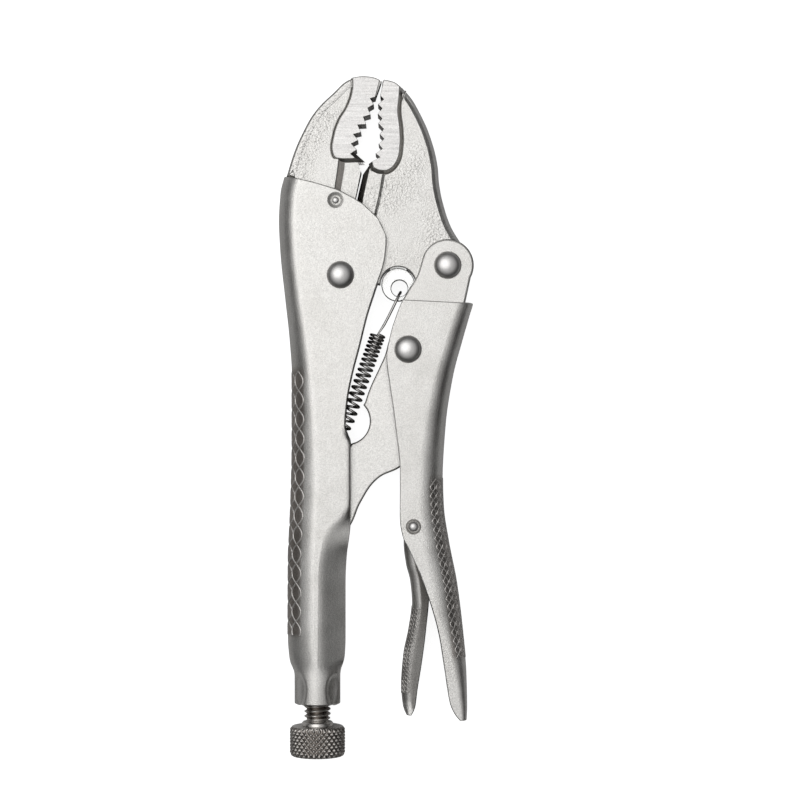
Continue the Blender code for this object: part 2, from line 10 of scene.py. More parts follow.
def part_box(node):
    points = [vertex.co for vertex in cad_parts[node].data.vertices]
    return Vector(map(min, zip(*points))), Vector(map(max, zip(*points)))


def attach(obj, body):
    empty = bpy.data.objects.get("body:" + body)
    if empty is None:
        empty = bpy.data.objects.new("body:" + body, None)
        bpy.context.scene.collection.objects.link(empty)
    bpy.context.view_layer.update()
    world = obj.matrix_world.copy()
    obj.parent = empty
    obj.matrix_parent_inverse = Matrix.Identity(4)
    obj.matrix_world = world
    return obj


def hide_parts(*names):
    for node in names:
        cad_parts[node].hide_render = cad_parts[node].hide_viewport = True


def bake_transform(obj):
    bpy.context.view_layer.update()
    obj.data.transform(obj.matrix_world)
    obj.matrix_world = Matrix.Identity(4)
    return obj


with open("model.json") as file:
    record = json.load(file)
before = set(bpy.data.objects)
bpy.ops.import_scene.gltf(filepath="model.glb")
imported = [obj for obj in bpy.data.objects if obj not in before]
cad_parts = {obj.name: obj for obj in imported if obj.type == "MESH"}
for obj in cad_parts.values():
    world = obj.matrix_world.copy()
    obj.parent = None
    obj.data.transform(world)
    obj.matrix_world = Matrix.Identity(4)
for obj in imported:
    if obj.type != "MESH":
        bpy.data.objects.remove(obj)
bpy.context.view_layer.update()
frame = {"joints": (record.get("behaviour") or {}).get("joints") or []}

mm = 0.001
joints = {joint["name"]: joint for joint in frame["joints"]}
zero = Vector(joints["jaw_hinge"]["pos_m"])  # shapes are drawn in mm from the jaw rivet, at mid thickness
intoPlace = Matrix.Translation(zero) @ Matrix.Scale(mm, 4)


def pivotOf(name):
    return (Vector(joints[name]["pos_m"]) - zero) / mm


def topOf(node):
    return (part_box(node)[1].z - zero.z) / mm


def placed(x, y, z=0):
    return intoPlace @ Vector((x, y, z))


jawPivot = pivotOf("jaw_hinge")
leverPivot = pivotOf("lever_hinge")
linkPivot = pivotOf("link_hinge")
releasePivot = pivotOf("release_hinge")
screwX, knobTop = pivotOf("knob_turn").xy
jawPin = Vector((-1.8, 27.1))
floorLevel = -zero.z / mm
print("frame loaded, jaw rivet at", [round(v, 4) for v in zero])


# curves, tables and small sums that the pieces share

def mix(a, b, share):
    return a + (b - a) * share


def ease(low, high, value):
    t = min(max((value - low) / (high - low), 0), 1)
    return t * t * (3 - 2 * t)


def follow(table, y):  # smooth reading of (y, value) pairs that run down the tool
    last = len(table) - 1
    if y >= table[0][0]:
        return table[0][1]
    if y <= table[last][0]:
        return table[last][1]
    i = next(k for k in range(last) if table[k + 1][0] <= y)
    (y0, v0), (y1, v1) = table[i], table[i + 1]
    slope = (v1 - v0) / (y1 - y0)
    before = slope if i == 0 else (v0 - table[i - 1][1]) / (y0 - table[i - 1][0])
    after = slope if i + 1 == last else (table[i + 2][1] - v1) / (table[i + 2][0] - y1)
    start = 0 if before * slope <= 0 else 2 * before * slope / (before + slope)
    end = 0 if after * slope <= 0 else 2 * after * slope / (after + slope)
    t, h = (y - y0) / (y1 - y0), y1 - y0
    rise = (t * t * t - 2 * t * t + t) * h * start + (t * t * t - t * t) * h * end
    return v0 + (v1 - v0) * t * t * (3 - 2 * t) + rise


def stretch(kind, points):  # points (x, y), or (x, y, 1) at a corner, all of one kind of edge
    return [(Vector(p[:2]), len(p) > 2, kind) for p in points]


def arc(centre, radius, start, end, steps):
    turns = [radians(mix(start, end, i / steps)) for i in range(steps + 1)]
    return [(centre[0] + radius * cos(t), centre[1] + radius * sin(t), 1) for t in turns]


def pulls(before, here, after):  # handles of a smooth curve point, as Blender's automatic ones
    a, b = here - before, after - here
    turn = a.normalized() + b.normalized()
    size = turn.length * 2.5614
    return here - turn * (a.length / size), here + turn * (b.length / size)


def flow(outline, steps=8):  # closed outline, sampled to (point, kind of edge)
    count, samples = len(outline), []
    handles = []
    for i, (here, corner, _) in enumerate(outline):
        before, after = outline[i - 1][0], outline[(i + 1) % count][0]
        straight = (mix(here, before, 1 / 3), mix(here, after, 1 / 3))
        handles.append(straight if corner else pulls(before, here, after))
    for i, (here, corner, kind) in enumerate(outline):
        there, nextCorner = outline[(i + 1) % count][:2]
        a, b = handles[i][1], handles[(i + 1) % count][0]
        for step in range(1 if corner and nextCorner else steps):
            t = step / steps
            s = 1 - t
            point = here * s ** 3 + a * 3 * s * s * t + b * 3 * s * t * t + there * t ** 3
            samples.append((point, kind))
    return samples


def shrunk(samples, insets):  # the outline drawn in by each edge's own inset
    count = len(samples)
    points = [p for p, kind in samples]
    area = sum(points[i - 1].x * points[i].y - points[i].x * points[i - 1].y for i in range(count))
    side = 1 if area > 0 else -1
    moved = []
    for i, (here, kind) in enumerate(samples):
        lastKind = samples[i - 1][1]
        into, out = here - points[i - 1], points[(i + 1) % count] - here
        n1 = Vector((-into.y, into.x)).normalized() * side
        n2 = Vector((-out.y, out.x)).normalized() * side
        d1 = insets.get(lastKind, insets["other"])
        d2 = insets.get(kind, insets["other"])
        cross = n1.x * n2.y - n1.y * n2.x
        if abs(cross) > 0.2:  # a corner: where the two moved edges meet
            shift = Vector((d1 * n2.y - d2 * n1.y, d2 * n1.x - d1 * n2.x)) / cross
        else:
            shift = (n1 + n2).normalized() * (d1 + d2) / 2
        limit = 2.2 * max(d1, d2)
        if shift.length > limit > 0:
            shift *= limit / shift.length
        moved.append(here + shift)
    return moved


# turning drawn shapes into pieces

def softEdges(form, angle=35):
    form.normal_update()
    for face in form.faces:
        face.smooth = True
    for edge in form.edges:
        if len(edge.link_faces) == 2 and edge.calc_face_angle(0) > radians(angle):
            edge.smooth = False


def addObject(name, data):
    made = bpy.data.objects.new(name, data)
    bpy.context.scene.collection.objects.link(made)
    return made


def addForm(name, form):  # a drawn form as an object, brought from mm to its place
    mesh = bpy.data.meshes.new(name)
    form.to_mesh(mesh)
    form.free()
    mesh.transform(intoPlace)
    return addObject(name, mesh)


def newPiece(name, form, body, surfaces, node=None, angle=35):
    bmesh.ops.recalc_face_normals(form, faces=form.faces)
    softEdges(form, angle)
    made = addForm(name, form)
    for surface in surfaces:
        made.data.materials.append(surface)
    if body:
        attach(made, body)
    if node:
        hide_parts(node)
    return made


def worked(made):  # an object's mesh with its modifiers, or its curve's thickness, worked out
    bpy.context.view_layer.update()
    return bpy.data.meshes.new_from_object(made.evaluated_get(bpy.context.evaluated_depsgraph_get()))


def addPlate(form, samples, levels, holes=(), flatFace=0, sideFace=0):
    # levels run from the front face to the back one: (height, insets by kind of edge)
    loops = []
    for z, insets in levels:
        rings = [shrunk(samples, insets)]
        for centre, radius in holes:
            rings.append([Vector(p[:2]) for p in arc(centre, radius + insets["other"], 0, 352.5, 47)])
        loops.append([[form.verts.new((p.x, p.y, z)) for p in ring] for ring in rings])
    for upper, lower in zip(loops, loops[1:]):
        for ringA, ringB in zip(upper, lower):
            for i in range(len(ringA)):
                quad = (ringA[i - 1], ringA[i], ringB[i], ringB[i - 1])
                form.faces.new(quad).material_index = sideFace
    for rings in (loops[0], loops[-1]):
        flat = [v for ring in rings for v in ring]
        for tri in tessellate_polygon([[v.co for v in ring] for ring in rings]):
            if len(set(tri)) == 3:
                face = form.faces.new([flat[i] for i in tri])
                face.material_index = flatFace
                for edge in face.edges:
                    if any(len(f.verts) == 4 for f in edge.link_faces):
                        edge.smooth = False


def roundedLevels(half, edge, steps=3):  # a plate of one thickness whose edges are rounded over by edge
    levels = []
    for i in range(steps + 1):
        turn = radians(90 * i / steps)
        levels.append((half - edge * (1 - cos(turn)), {"other": edge * (1 - sin(turn))}))
    return levels + [(-z, insets) for z, insets in reversed(levels)]


def addTurned(form, profile, centre, along="z", steps=56):
    # profile of (radius, height) pairs from one end to the other, turned about the axis
    rings = []
    for radius, height in profile:
        ring = []
        for i in range(steps if radius > 0.001 else 1):
            turn = 2 * pi * i / steps
            x, y = radius * cos(turn), radius * sin(turn)
            spot = (x, y, height) if along == "z" else (x, height, y)
            ring.append(form.verts.new((spot[0] + centre[0], spot[1] + centre[1], spot[2])))
        rings.append(ring)
    for a, b in zip(rings, rings[1:]):
        for i in range(steps):
            corners = [ring[k % len(ring)] for ring, k in ((a, i - 1), (a, i), (b, i), (b, i - 1))]
            distinct = list(dict.fromkeys(corners))
            if len(distinct) > 2:
                form.faces.new(distinct)


def evenly(points, count):  # the same line with count equal steps
    lengths = [0]
    for a, b in zip(points, points[1:]):
        lengths.append(lengths[-1] + (b - a).length)
    found, k = [], 0
    for i in range(count + 1):
        want = lengths[-1] * i / count
        while k < len(points) - 2 and lengths[k + 1] < want:
            k += 1
        span = lengths[k + 1] - lengths[k]
        found.append(mix(points[k], points[k + 1], (want - lengths[k]) / span if span else 0))
    return found


def bentSheet(rows, wall, paintedShade):
    # rows of half sections (x, y, z) from the middle of the fold to the free edge, mirrored to the back
    form = bmesh.new()
    weights = form.edges.layers.float.new("bevel_weight_edge")
    # painted shade per vertex, read from the function given
    shade = form.verts.layers.float.new("paintedShade")
    outer = [[Vector((p.x, p.y, -p.z)) for p in reversed(row[1:])] + list(row) for row in rows]
    inner = []
    count = len(outer[0])
    inward = 1 if rows[0][-1].x > rows[0][0].x else -1
    for j, full in enumerate(outer):
        line = []
        width = abs(rows[j][-1].x - rows[j][0].x)
        way = inward * wall * min(1, width / (3 * wall))  # thinner towards a narrow tip
        for i, here in enumerate(full):
            along = full[min(i + 1, count - 1)] - full[max(i - 1, 0)]
            down = outer[min(j + 1, len(outer) - 1)][i] - outer[max(j - 1, 0)][i]
            line.append(here + along.cross(down).normalized() * way)
        inner.append(line)
    verts = [[[form.verts.new(p) for p in row] for row in skin] for skin in (outer, inner)]
    for skin in verts:
        for a, b in zip(skin, skin[1:]):
            for i in range(count - 1):
                form.faces.new((a[i], a[i + 1], b[i + 1], b[i]))
    for row in verts[0]:
        for vertex in row:
            vertex[shade] = paintedShade(vertex.co)
    out, into = verts
    rims = [(out[0], into[0]), (out[-1], into[-1])]
    rims += [([row[k] for row in out], [row[k] for row in into]) for k in (0, count - 1)]
    for a, b in rims:
        for i in range(len(a) - 1):
            form.faces.new((a[i], a[i + 1], b[i + 1], b[i]))
            for pair in ((a[i], a[i + 1]), (b[i], b[i + 1])):
                form.edges.get(pair)[weights] = 1
    return form


def roundEdges(made, width, segments=3):
    edge = made.modifiers.new("rounded edges", "BEVEL")
    edge.limit_method = "WEIGHT"
    edge.width = width * mm
    edge.segments = segments
    edge.use_clamp_overlap = False
    even = made.modifiers.new("even shading", "WEIGHTED_NORMAL")
    even.keep_sharp = True
    even.weight = 80


def sink(made, centre, radius, depth, top):  # presses a round seat into the front of a sheet
    form = bmesh.new()
    addTurned(form, [(0, top + 2), (radius, top + 2), (radius, top - depth), (0, top - depth)], centre)
    bmesh.ops.recalc_face_normals(form, faces=form.faces)
    cutter = addForm("seat", form)
    cut = made.modifiers.new("seat", "BOOLEAN")
    cut.solver = "EXACT"
    cut.object = cutter
    made.data = worked(made)
    made.modifiers.clear()
    bpy.data.objects.remove(cutter)


def wireMesh(name, paths, radius, sides=3):
    curve = bpy.data.curves.new(name, "CURVE")
    curve.dimensions = "3D"
    curve.bevel_depth = radius
    curve.bevel_resolution = sides
    curve.use_fill_caps = True
    for path in paths:
        line = curve.splines.new("POLY")
        line.points.add(len(path) - 1)
        for point, p in zip(line.points, path):
            point.co = (p.x, p.y, p.z, 1)
    holder = addObject(name, curve)
    form = bmesh.new()
    form.from_mesh(worked(holder))
    bpy.data.objects.remove(holder)
    return form


# metals: blasted and plated nickel in several states

def nodeMaker(name):
    made = bpy.data.materials.new(name)
    made.use_nodes = True
    nodes, links = made.node_tree.nodes, made.node_tree.links

    def add(kind, **values):
        node = nodes.new(kind)
        for key, value in values.items():
            if hasattr(node, key):
                setattr(node, key, value)
            else:
                node.inputs[key.replace("_", " ")].default_value = value
        return node

    return made, nodes["Principled BSDF"], add, links.new


def metal(name, look):
    made, shader, add, link = nodeMaker(name)
    place = add("ShaderNodeTexCoord").outputs["Object"]

    def noise(scale, detail, roughness=0.5):
        texture = add("ShaderNodeTexNoise", Scale=scale, Detail=detail, Roughness=roughness)
        link(place, texture.inputs["Vector"])
        return texture.outputs["Fac"]

    def spread(value, low, high, lowest=0.0, highest=1.0):
        reading = add("ShaderNodeMapRange", From_Min=low, From_Max=high, To_Min=lowest, To_Max=highest)
        link(value, reading.inputs["Value"])
        return reading.outputs["Result"]

    def product(a, b):
        node = add("ShaderNodeMath", operation="MULTIPLY")
        link(a, node.inputs[0])
        link(b, node.inputs[1])
        return node.outputs["Value"]

    def multiplied(colour, tint, factor=1):  # tint and factor are values, or come from another node
        node = add("ShaderNodeMix", data_type="RGBA", blend_type="MULTIPLY")
        link(colour, node.inputs["A"])
        for value, socket in ((tint, node.inputs["B"]), (factor, node.inputs["Factor"])):
            if isinstance(value, bpy.types.NodeSocket):
                link(value, socket)
            else:
                socket.default_value = value
        return node.outputs["Result"]

    def bump(height, strength, distance, under=None):  # laid over the relief under it
        node = add("ShaderNodeBump", Strength=strength, Distance=distance)
        link(height, node.inputs["Height"])
        if under is not None:
            link(under, node.inputs["Normal"])
        return node.outputs["Normal"]

    grain = noise(look["grainScale"], 3, 0.6)
    cloud = noise(look["cloudScale"], 4, 0.55)
    tone = add("ShaderNodeValToRGB")
    for element, position, colour in zip(tone.color_ramp.elements, (0.3, 0.7), (look["dark"], look["light"])):
        element.position = position
        element.color = (*colour, 1)
    link(cloud, tone.inputs["Fac"])
    colour = multiplied(tone.outputs["Color"], spread(grain, 0.35, 0.65, 1 - look["speckle"]))
    relief = bump(grain, look["grainDepth"], 0.00012)
    # painted shade: darkens the colour by the piece's per-vertex paintedShade value
    if "paintedShade" in look:
        mask = add("ShaderNodeAttribute", attribute_name="paintedShade")
        colour = multiplied(colour, (*look["paintedShade"], 1), mask.outputs["Fac"])
    if "pits" in look:  # rough casting skin, in patches, with dark spots in its hollows
        size = look["pits"]
        cells = add("ShaderNodeTexVoronoi", Scale=size, feature="SMOOTH_F1", Smoothness=0.6)
        link(place, cells.inputs["Vector"])
        patch = spread(noise(size * 0.05, 1), 0.42, 0.62, 0.15)
        lumps = product(cells.outputs["Distance"], noise(size * 0.7, 2))
        relief = bump(product(lumps, patch), look["pitDepth"], 0.00025, relief)
        spots = spread(noise(size * 1.3, 3, 0.65), 0.56, 0.66)
        colour = multiplied(colour, (0.62, 0.61, 0.60, 1), product(spots, patch))
    if "lines" in look:  # grinding marks across the teeth
        squeeze = add("ShaderNodeMapping")
        squeeze.inputs["Scale"].default_value = look["lines"]
        link(place, squeeze.inputs["Vector"])
        streaks = add("ShaderNodeTexNoise", Scale=1, Detail=4, Roughness=0.7)
        link(squeeze.outputs["Vector"], streaks.inputs["Vector"])
        relief = bump(streaks.outputs["Fac"], look["lineDepth"], 0.00012, relief)
        colour = multiplied(colour, spread(streaks.outputs["Fac"], 0.3, 0.7, look["lineTone"]))

    shader.inputs["Metallic"].default_value = 1
    link(colour, shader.inputs["Base Color"])
    link(spread(cloud, 0.3, 0.7, *look["roughness"]), shader.inputs["Roughness"])
    link(relief, shader.inputs["Normal"])
    return made


satin = {
    "light": (0.66, 0.65, 0.63), "dark": (0.52, 0.51, 0.49), "roughness": (0.28, 0.40),
    "grainScale": 2600, "cloudScale": 90, "speckle": 0.26, "grainDepth": 0.8,
}
# paintedShade colours: painted shade in the knurled panels, a painted shadow on the release lever, painted
# shade in the screw's grooves
handleNickel = metal("blastedHandleNickel", {**satin, "paintedShade": (0.52, 0.48, 0.46)})
releaseNickel = metal("shadedReleaseNickel", {**satin, "paintedShade": (0.11, 0.105, 0.10)})
linkNickel = metal("blastedLinkNickel", {**satin, "dark": (0.58, 0.57, 0.55)})
jawNickel = metal("forgedJawNickel", {**satin, "grainDepth": 0.9, "pits": 1200, "pitDepth": 1.0})
groundSteel = metal("groundToothSteel", {
    **satin, "light": (0.62, 0.61, 0.60), "dark": (0.50, 0.49, 0.48), "roughness": (0.24, 0.36),
    "grainDepth": 0.15, "lines": (60, 1400, 60), "lineDepth": 0.5, "lineTone": 0.72,
})
# darker nickel as painted shade: the pads' sides, the link's edges and the seats round the small heads
shadeSideNickel = metal("paintedShadeSideNickel", {**satin, "light": (0.55, 0.54, 0.52), "dark": (0.42, 0.41, 0.39)})
# near black: a painted shadow for the strip beside the fixed jaw's cutter
paintedShadowSteel = metal("paintedShadowStrip", {**satin, "light": (0.16, 0.15, 0.14), "dark": (0.09, 0.085, 0.08)})
ridgeNickel = metal("knurlRidgeNickel", {**satin, "light": (0.62, 0.60, 0.58), "dark": (0.50, 0.48, 0.46)})
rivetNickel = metal("smoothRivetNickel", {
    **satin, "roughness": (0.32, 0.40), "grainDepth": 0.25, "speckle": 0.1,
    "light": (0.66, 0.65, 0.64), "dark": (0.56, 0.55, 0.54),
})
# base colour near white: a painted highlight
eyeHighlightNickel = metal("paintedHighlightEyeNickel", {**satin, "light": (0.86, 0.86, 0.85), "dark": (0.78, 0.78, 0.77)})
screwNickel = metal("grooveShadedScrewNickel", {
    **satin, "light": (0.66, 0.64, 0.61), "dark": (0.50, 0.48, 0.46), "roughness": (0.22, 0.34),
    "grainDepth": 0.2, "cloudScale": 300, "paintedShade": (0.30, 0.27, 0.25),
})
springWire = metal("drawnSpringWire", {
    **satin, "light": (0.50, 0.49, 0.48), "dark": (0.36, 0.35, 0.34), "roughness": (0.22, 0.32),
    "grainDepth": 0.1, "speckle": 0.05,
})
print("metals mixed")


# fixed handle: sheet folded round the jaw's shank, closed to a tube and pressed round the nut

handle = {
    "wall": 1.65, "half": topOf("fixed_handle"), "bend": 7.9, "flatLip": 4.2, "edgeRound": 0.35,
    "topY": 36.2, "topCorner": (15.2, 17.4), "squareY": -12.0, "pinSeat": 3.0, "pinSeatDepth": 0.7,
    "rollFrom": (-56.0, -62.0), "facetFrom": (-80.0, -94.0), "gatherFrom": (-140.5, -146.2),
    "lipEnd": 6.2, "seam": 0.35, "slotStart": -93.0, "slotEnd": -103.0,
    "collarFrom": -144.4, "collarEnd": -156.3, "collarRadius": 8.4,
    "crimpAngles": (145, 38), "crimpMiddle": -151.2, "crimpSpread": 27, "crimpReach": 6.6, "crimpDepth": 0.8,
    "back": [
        (36.5, -20.6), (30.4, -22.1), (20.0, -22.7), (9.0, -22.2), (-8.4, -20.4), (-23.2, -18.8),
        (-38.0, -17.9), (-62.0, -17.9), (-80.0, -18.3), (-94.2, -18.9), (-103.1, -19.3), (-133.0, -19.4),
        (-139.3, -18.9), (-143.8, -18.2), (-150.0, -17.0),
    ],
    "foldReach": [(-10.0, 6.6), (-36.0, 7.6), (-60.0, 9.0), (-84.0, 9.7), (-143.0, 9.7)],
    # how softly the fold runs into the flat wall
    "foldRound": [(-10.0, 0.5), (-50.0, 0.28), (-143.0, 0.2)],
    "front": [
        (17.4, 15.2), (12.8, 16.7), (6.1, 16.1), (-5.0, 12.7), (-14.3, 9.7), (-26.0, 6.8), (-36.0, 4.2),
        (-45.4, 2.4), (-55.0, 1.6), (-61.0, 3.6), (-80.0, 3.7), (-88.0, 3.6), (-94.2, 3.1), (-103.1, 2.0),
        (-112.0, 1.6), (-133.0, 1.6), (-139.3, 1.3), (-143.8, 0.4),
    ],
    # where the flat wall gives way to the rolled front
    "wallEnd": [
        (-61.0, 1.5), (-83.0, 1.5), (-88.0, -1.2), (-93.0, -4.9), (-100.0, -7.0), (-108.7, -7.9),
        (-143.0, -8.3),
    ],
    # height of the rolled front's edge
    "shoulder": [(-61.0, 7.0), (-88.0, 6.8), (-95.0, 6.0), (-104.0, 4.2), (-143.0, 4.0)],
    # the slanting top edge, as (x, y)
    "top": [
        (-20.6, 36.2), (-17.6, 35.5), (-9.5, 33.6), (-1.0, 31.0), (7.0, 26.8), (13.3, 21.0), (15.2, 17.4),
    ],
}


def handleTopShape(share):  # the top edge's fall, from 0 at the spine to 1 at its far corner
    line = evenly([Vector(p) for p in handle["top"]], 60)
    x = mix(line[0].x, line[-1].x, share)
    k = next((i for i in range(60) if line[i + 1].x >= x), 59)
    part = (x - line[k].x) / (line[k + 1].x - line[k].x)
    y = mix(line[k].y, line[k + 1].y, min(max(part, 0), 1))
    return (line[0].y - y) / (line[0].y - line[-1].y)


def slotEnd(y):  # how far from the middle the rolled front stops: the link's slot, then the seam
    past = (handle["slotStart"] - y) / (handle["slotStart"] - handle["slotEnd"])
    narrow = sqrt(1 - past * past) if 0 < past < 1 else float(past <= 0)
    return max(handle["lipEnd"] * narrow, handle["seam"])


def bezier(a, b, c, d, steps=16):
    points = []
    for i in range(steps + 1):
        t = i / steps
        s = 1 - t
        points.append(a * s ** 3 + b * 3 * s * s * t + c * 3 * s * t * t + d * t ** 3)
    return points


def handleSection(y):  # half a section at y: points (x, z) from the fold's middle to the free edge
    back, front = follow(handle["back"], y), follow(handle["front"], y)
    half, bend = handle["half"], handle["bend"]
    spine = [Vector((back, 0)), Vector((back, half - bend))]
    reach, square = follow(handle["foldReach"], y), follow(handle["foldRound"], y)
    low, high = spine[1], Vector((back + reach, half))
    corner = bezier(low, low + Vector((0, bend * 0.5)), high - Vector((reach * square, 0)), high, 40)
    fold = evenly(corner, 14)
    rolled = ease(*handle["rollFrom"], y)
    wallEnd = mix(front - handle["flatLip"], follow(handle["wallEnd"], y), rolled)
    edge, stop = Vector((front, half)), slotEnd(y)
    shoulder = max(mix(half, follow(handle["shoulder"], y), rolled), stop + 0.6)
    facet = ease(*handle["facetFrom"], y)
    start, end = Vector((wallEnd, half)), Vector((front, shoulder))
    pull = mix(Vector((front, half)), Vector((wallEnd + 1.4, half)), facet)
    push = mix(Vector((front, half - 0.3)), (start + end) / 2, facet)
    roll = evenly(bezier(start, pull, push, end), 10)
    flatRoll = [mix(start, edge - Vector((1.0, 0)), i / 10) for i in range(11)]
    roll = [mix(f, r, rolled) for f, r in zip(flatRoll, roll)]
    lip = [mix(roll[-1], mix(edge, Vector((front, stop)), rolled), i / 2) for i in range(3)]
    wall = [mix(fold[-1], start, i / 8) for i in range(9)]
    return spine + fold[1:] + wall[1:] + roll[1:] + lip[1:]


def collarSection(y, count):  # the crimped collar, round with four pressed flats
    radius, points = handle["collarRadius"], []
    for i in range(count):
        turn = radians(mix(180, 3, i / (count - 1)))
        press = 0
        for middle in handle["crimpAngles"]:
            across = (turn - radians(middle)) / radians(handle["crimpSpread"])
            along = (y - handle["crimpMiddle"]) / handle["crimpReach"]
            press = max(press, min(1, 2.2 * max(0, 1 - across * across - along * along)))
        r = radius - handle["crimpDepth"] * press
        points.append(Vector((screwX + r * cos(turn), r * sin(turn))))
    return points


def handleRow(y):
    section = handleSection(y)
    gather = ease(*handle["gatherFrom"], y)
    if gather:
        section = [mix(a, b, gather) for a, b in zip(section, collarSection(y, len(section)))]
    return [Vector((p.x, y, p.y)) for p in section]


def handleTopRow(share):  # rows that start along the slanting top edge and come level by squareY
    spineY = mix(handle["topY"], handle["squareY"], share)
    edgeY = mix(handle["topCorner"][1], handle["squareY"], share)
    section, edgeSection = handleSection(spineY), handleSection(edgeY)
    front = edgeSection[-1].x
    back, foldEnd = section[0].x, section[0].x + follow(handle["foldReach"], spineY)
    row = []
    for p in section:
        x = p.x if p.x <= foldEnd else mix(foldEnd, front, (p.x - foldEnd) / (section[-1].x - foldEnd))
        level = handleTopShape((x - back) / (front - back))
        row.append(Vector((x, mix(spineY, edgeY, level), p.y)))
    return row


def handleRows():
    rows = [handleTopRow(i / 30) for i in range(30)]
    y = handle["squareY"]
    while y > handle["collarFrom"]:
        rows.append(handleRow(y))
        y -= 1.6
    return rows + [handleRow(mix(handle["collarFrom"], handle["collarEnd"], i / 18)) for i in range(19)]


def walk(section, distance):  # a point on a half section and its outward direction, distance from the fold
    left = abs(distance)
    side = 1 if distance >= 0 else -1
    outward = 1 if section[-1].x > section[0].x else -1
    for a, b in zip(section, section[1:]):
        step = (b - a).length
        if left <= step:
            way = (b - a) / step
            spot = a + way * left
            return Vector((spot.x, spot.y * side)), Vector((-way.y, way.x * side)) * outward
        left -= step
    return Vector((b.x, b.y * side)), Vector((0, side))


handleKnurl = {
    "start": -35.0, "end": -131.0, "pitch": 7.0, "columns": 4, "width": 4.3, "ridge": 0.36, "sunk": 0.12,
}


def ridgeLines(section, size, straight=False):  # crossing waves of raised lines round a fold
    lines = []
    reach = abs(size["end"] - size["start"])
    count = round(reach / 0.7)
    for column in range(size["columns"]):
        middle = (column - (size["columns"] - 1) / 2) * size["width"]
        for side in (1, -1):
            line = []
            for i in range(count + 1):
                y = size["start"] - reach * i / count
                phase = reach * i / count / size["pitch"]
                wave = 1 - 4 * abs(phase / 2 % 1 - 0.5) if straight else sin(pi * phase)
                spot, out = walk(section(y), middle + side * wave * size["width"] / 2)
                spot -= out * size["sunk"]
                line.append(Vector((spot.x, y, spot.y)))
            lines.append(line)
    return lines


# painted shade: the knurled panel darkened for the shade in its recesses
def handlePaintedShade(p):  # darker in the knurled panel along the spine
    back = follow(handle["back"], p.y)
    inPanel = ease(-32.0, -36.0, p.y) * (1 - ease(-130.5, -132.5, p.y))
    return inPanel * (1 - ease(4.2, 5.0, p.x - back))


def buildHandle():
    form = bentSheet(handleRows(), handle["wall"], handlePaintedShade)
    made = newPiece("fixedHandleSheet", form, "frame", [handleNickel], "fixed_handle", 50)
    roundEdges(made, handle["edgeRound"])
    sink(made, jawPin, handle["pinSeat"], handle["pinSeatDepth"], handle["half"])
    ridges = wireMesh("knurl", ridgeLines(handleSection, handleKnurl), handleKnurl["ridge"])
    newPiece("fixedHandleKnurl", ridges, "frame", [ridgeNickel], None, 60)


buildHandle()
print("fixed handle folded")


# jaws: forged bodies in layers, so that the toothed faces and the cutter's lands sit at their own levels

jaw = {
    "core": 5.0, "face": 6.0, "pad": topOf("movable_jaw"), "edge": 0.3, "padEdge": 0.35,
    "leftTips": [
        (12.6, 64.6), (12.1, 61.9), (10.9, 58.2), (9.3, 54.7), (7.5, 51.8), (6.4, 48.9), (5.9, 45.5),
        (6.3, 41.0),
    ],
    "leftRoots": [(10.8, 64.1), (9.9, 60.6), (8.3, 57.4), (6.2, 54.5), (4.7, 51.1), (3.9, 47.7), (3.8, 44.1)],
    "rightTips": [
        (14.4, 65.1), (13.6, 62.0), (13.5, 58.5), (13.7, 55.0), (14.2, 51.1), (13.8, 47.6), (12.7, 44.1),
    ],
    "rightRoots": [
        (15.7, 63.8), (15.1, 60.5), (15.1, 56.8), (15.7, 53.0), (15.8, 49.4), (15.2, 45.8), (14.3, 42.8),
    ],
    "leftPadBack": [
        (4.3, 71.7, 1), (4.3, 67.5), (2.5, 61.5), (-0.7, 56.0), (-2.6, 50.0), (-3.0, 44.9), (-1.8, 42.6),
    ],
    "rightPadBack": [
        (21.6, 68.6, 1), (21.3, 64.0), (20.9, 60.0), (21.6, 53.5), (21.7, 47.0), (20.5, 41.4), (17.6, 38.2),
    ],
    "lug": 10.5, "shankShift": 8.2, "tailRadius": 8.4,
    "eyeCentre": (20.9, -3.3), "eyeRadius": 6.1, "eyeSeat": 6.5,
    "eyeHole": (21.4, -4.6), "eyeHoleRadius": 3.0,
}
jawMetals = [jawNickel, groundSteel, shadeSideNickel, paintedShadowSteel]
# the pads' sides carry painted shade, the strip a painted shadow
padFace, padSide, shadow = 1, 2, 3  # places in that list


def zigzag(tips, roots):
    teeth = []
    for tip, root in zip(tips, roots):
        teeth += [(*tip, 1), (*root, 1)]
    return teeth + [(*tip, 1) for tip in tips[len(roots):]]


def jawLevels(rim, bite):  # the core: rim and cutter edges lean in towards the faces
    front = [(jaw["core"], {"other": 0, "rim": rim, "bite": bite})]
    front.append((jaw["core"] * 0.55, {"other": 0, "rim": rim * 0.25, "bite": bite * 0.5}))
    front.append((0.6, {"other": 0, "rim": 0, "bite": 0.05}))
    return front + [(-z, insets) for z, insets in reversed(front)]


def addFaces(form, samples, insetTop, insetLow, fall=0.25):  # the thin outer layers, front and back
    core, high, edge = jaw["core"], jaw["face"], jaw["edge"]
    for side in (1, -1):
        levels = [(side * high, {k: v + edge for k, v in insetTop.items()})]
        levels.append((side * (high - 0.1), {k: v + edge * 0.4225 for k, v in insetTop.items()}))
        levels.append((side * (high - edge), {k: mix(v, insetLow[k], fall) for k, v in insetTop.items()}))
        levels += [(side * core, insetLow), (side * (core - 0.2), insetLow)]
        addPlate(form, samples, levels)


def addPads(form, samples, flare):  # the toothed faces, ground flat, with sides that flare into the forging
    high, edge = jaw["pad"], jaw["padEdge"]
    for side in (1, -1):
        levels = [(side * high, {"other": edge, "teeth": 0.12})]
        levels.append((side * (high - 0.1), {"other": edge * 0.4, "teeth": 0.04}))
        levels.append((side * (high - edge), {"other": 0}))
        levels.append((side * (high - 0.8), {k: v * 0.2 for k, v in flare.items()}))
        levels.append((side * (jaw["core"] - 0.05), flare))
        addPlate(form, samples, levels, flatFace=padFace, sideFace=padSide)


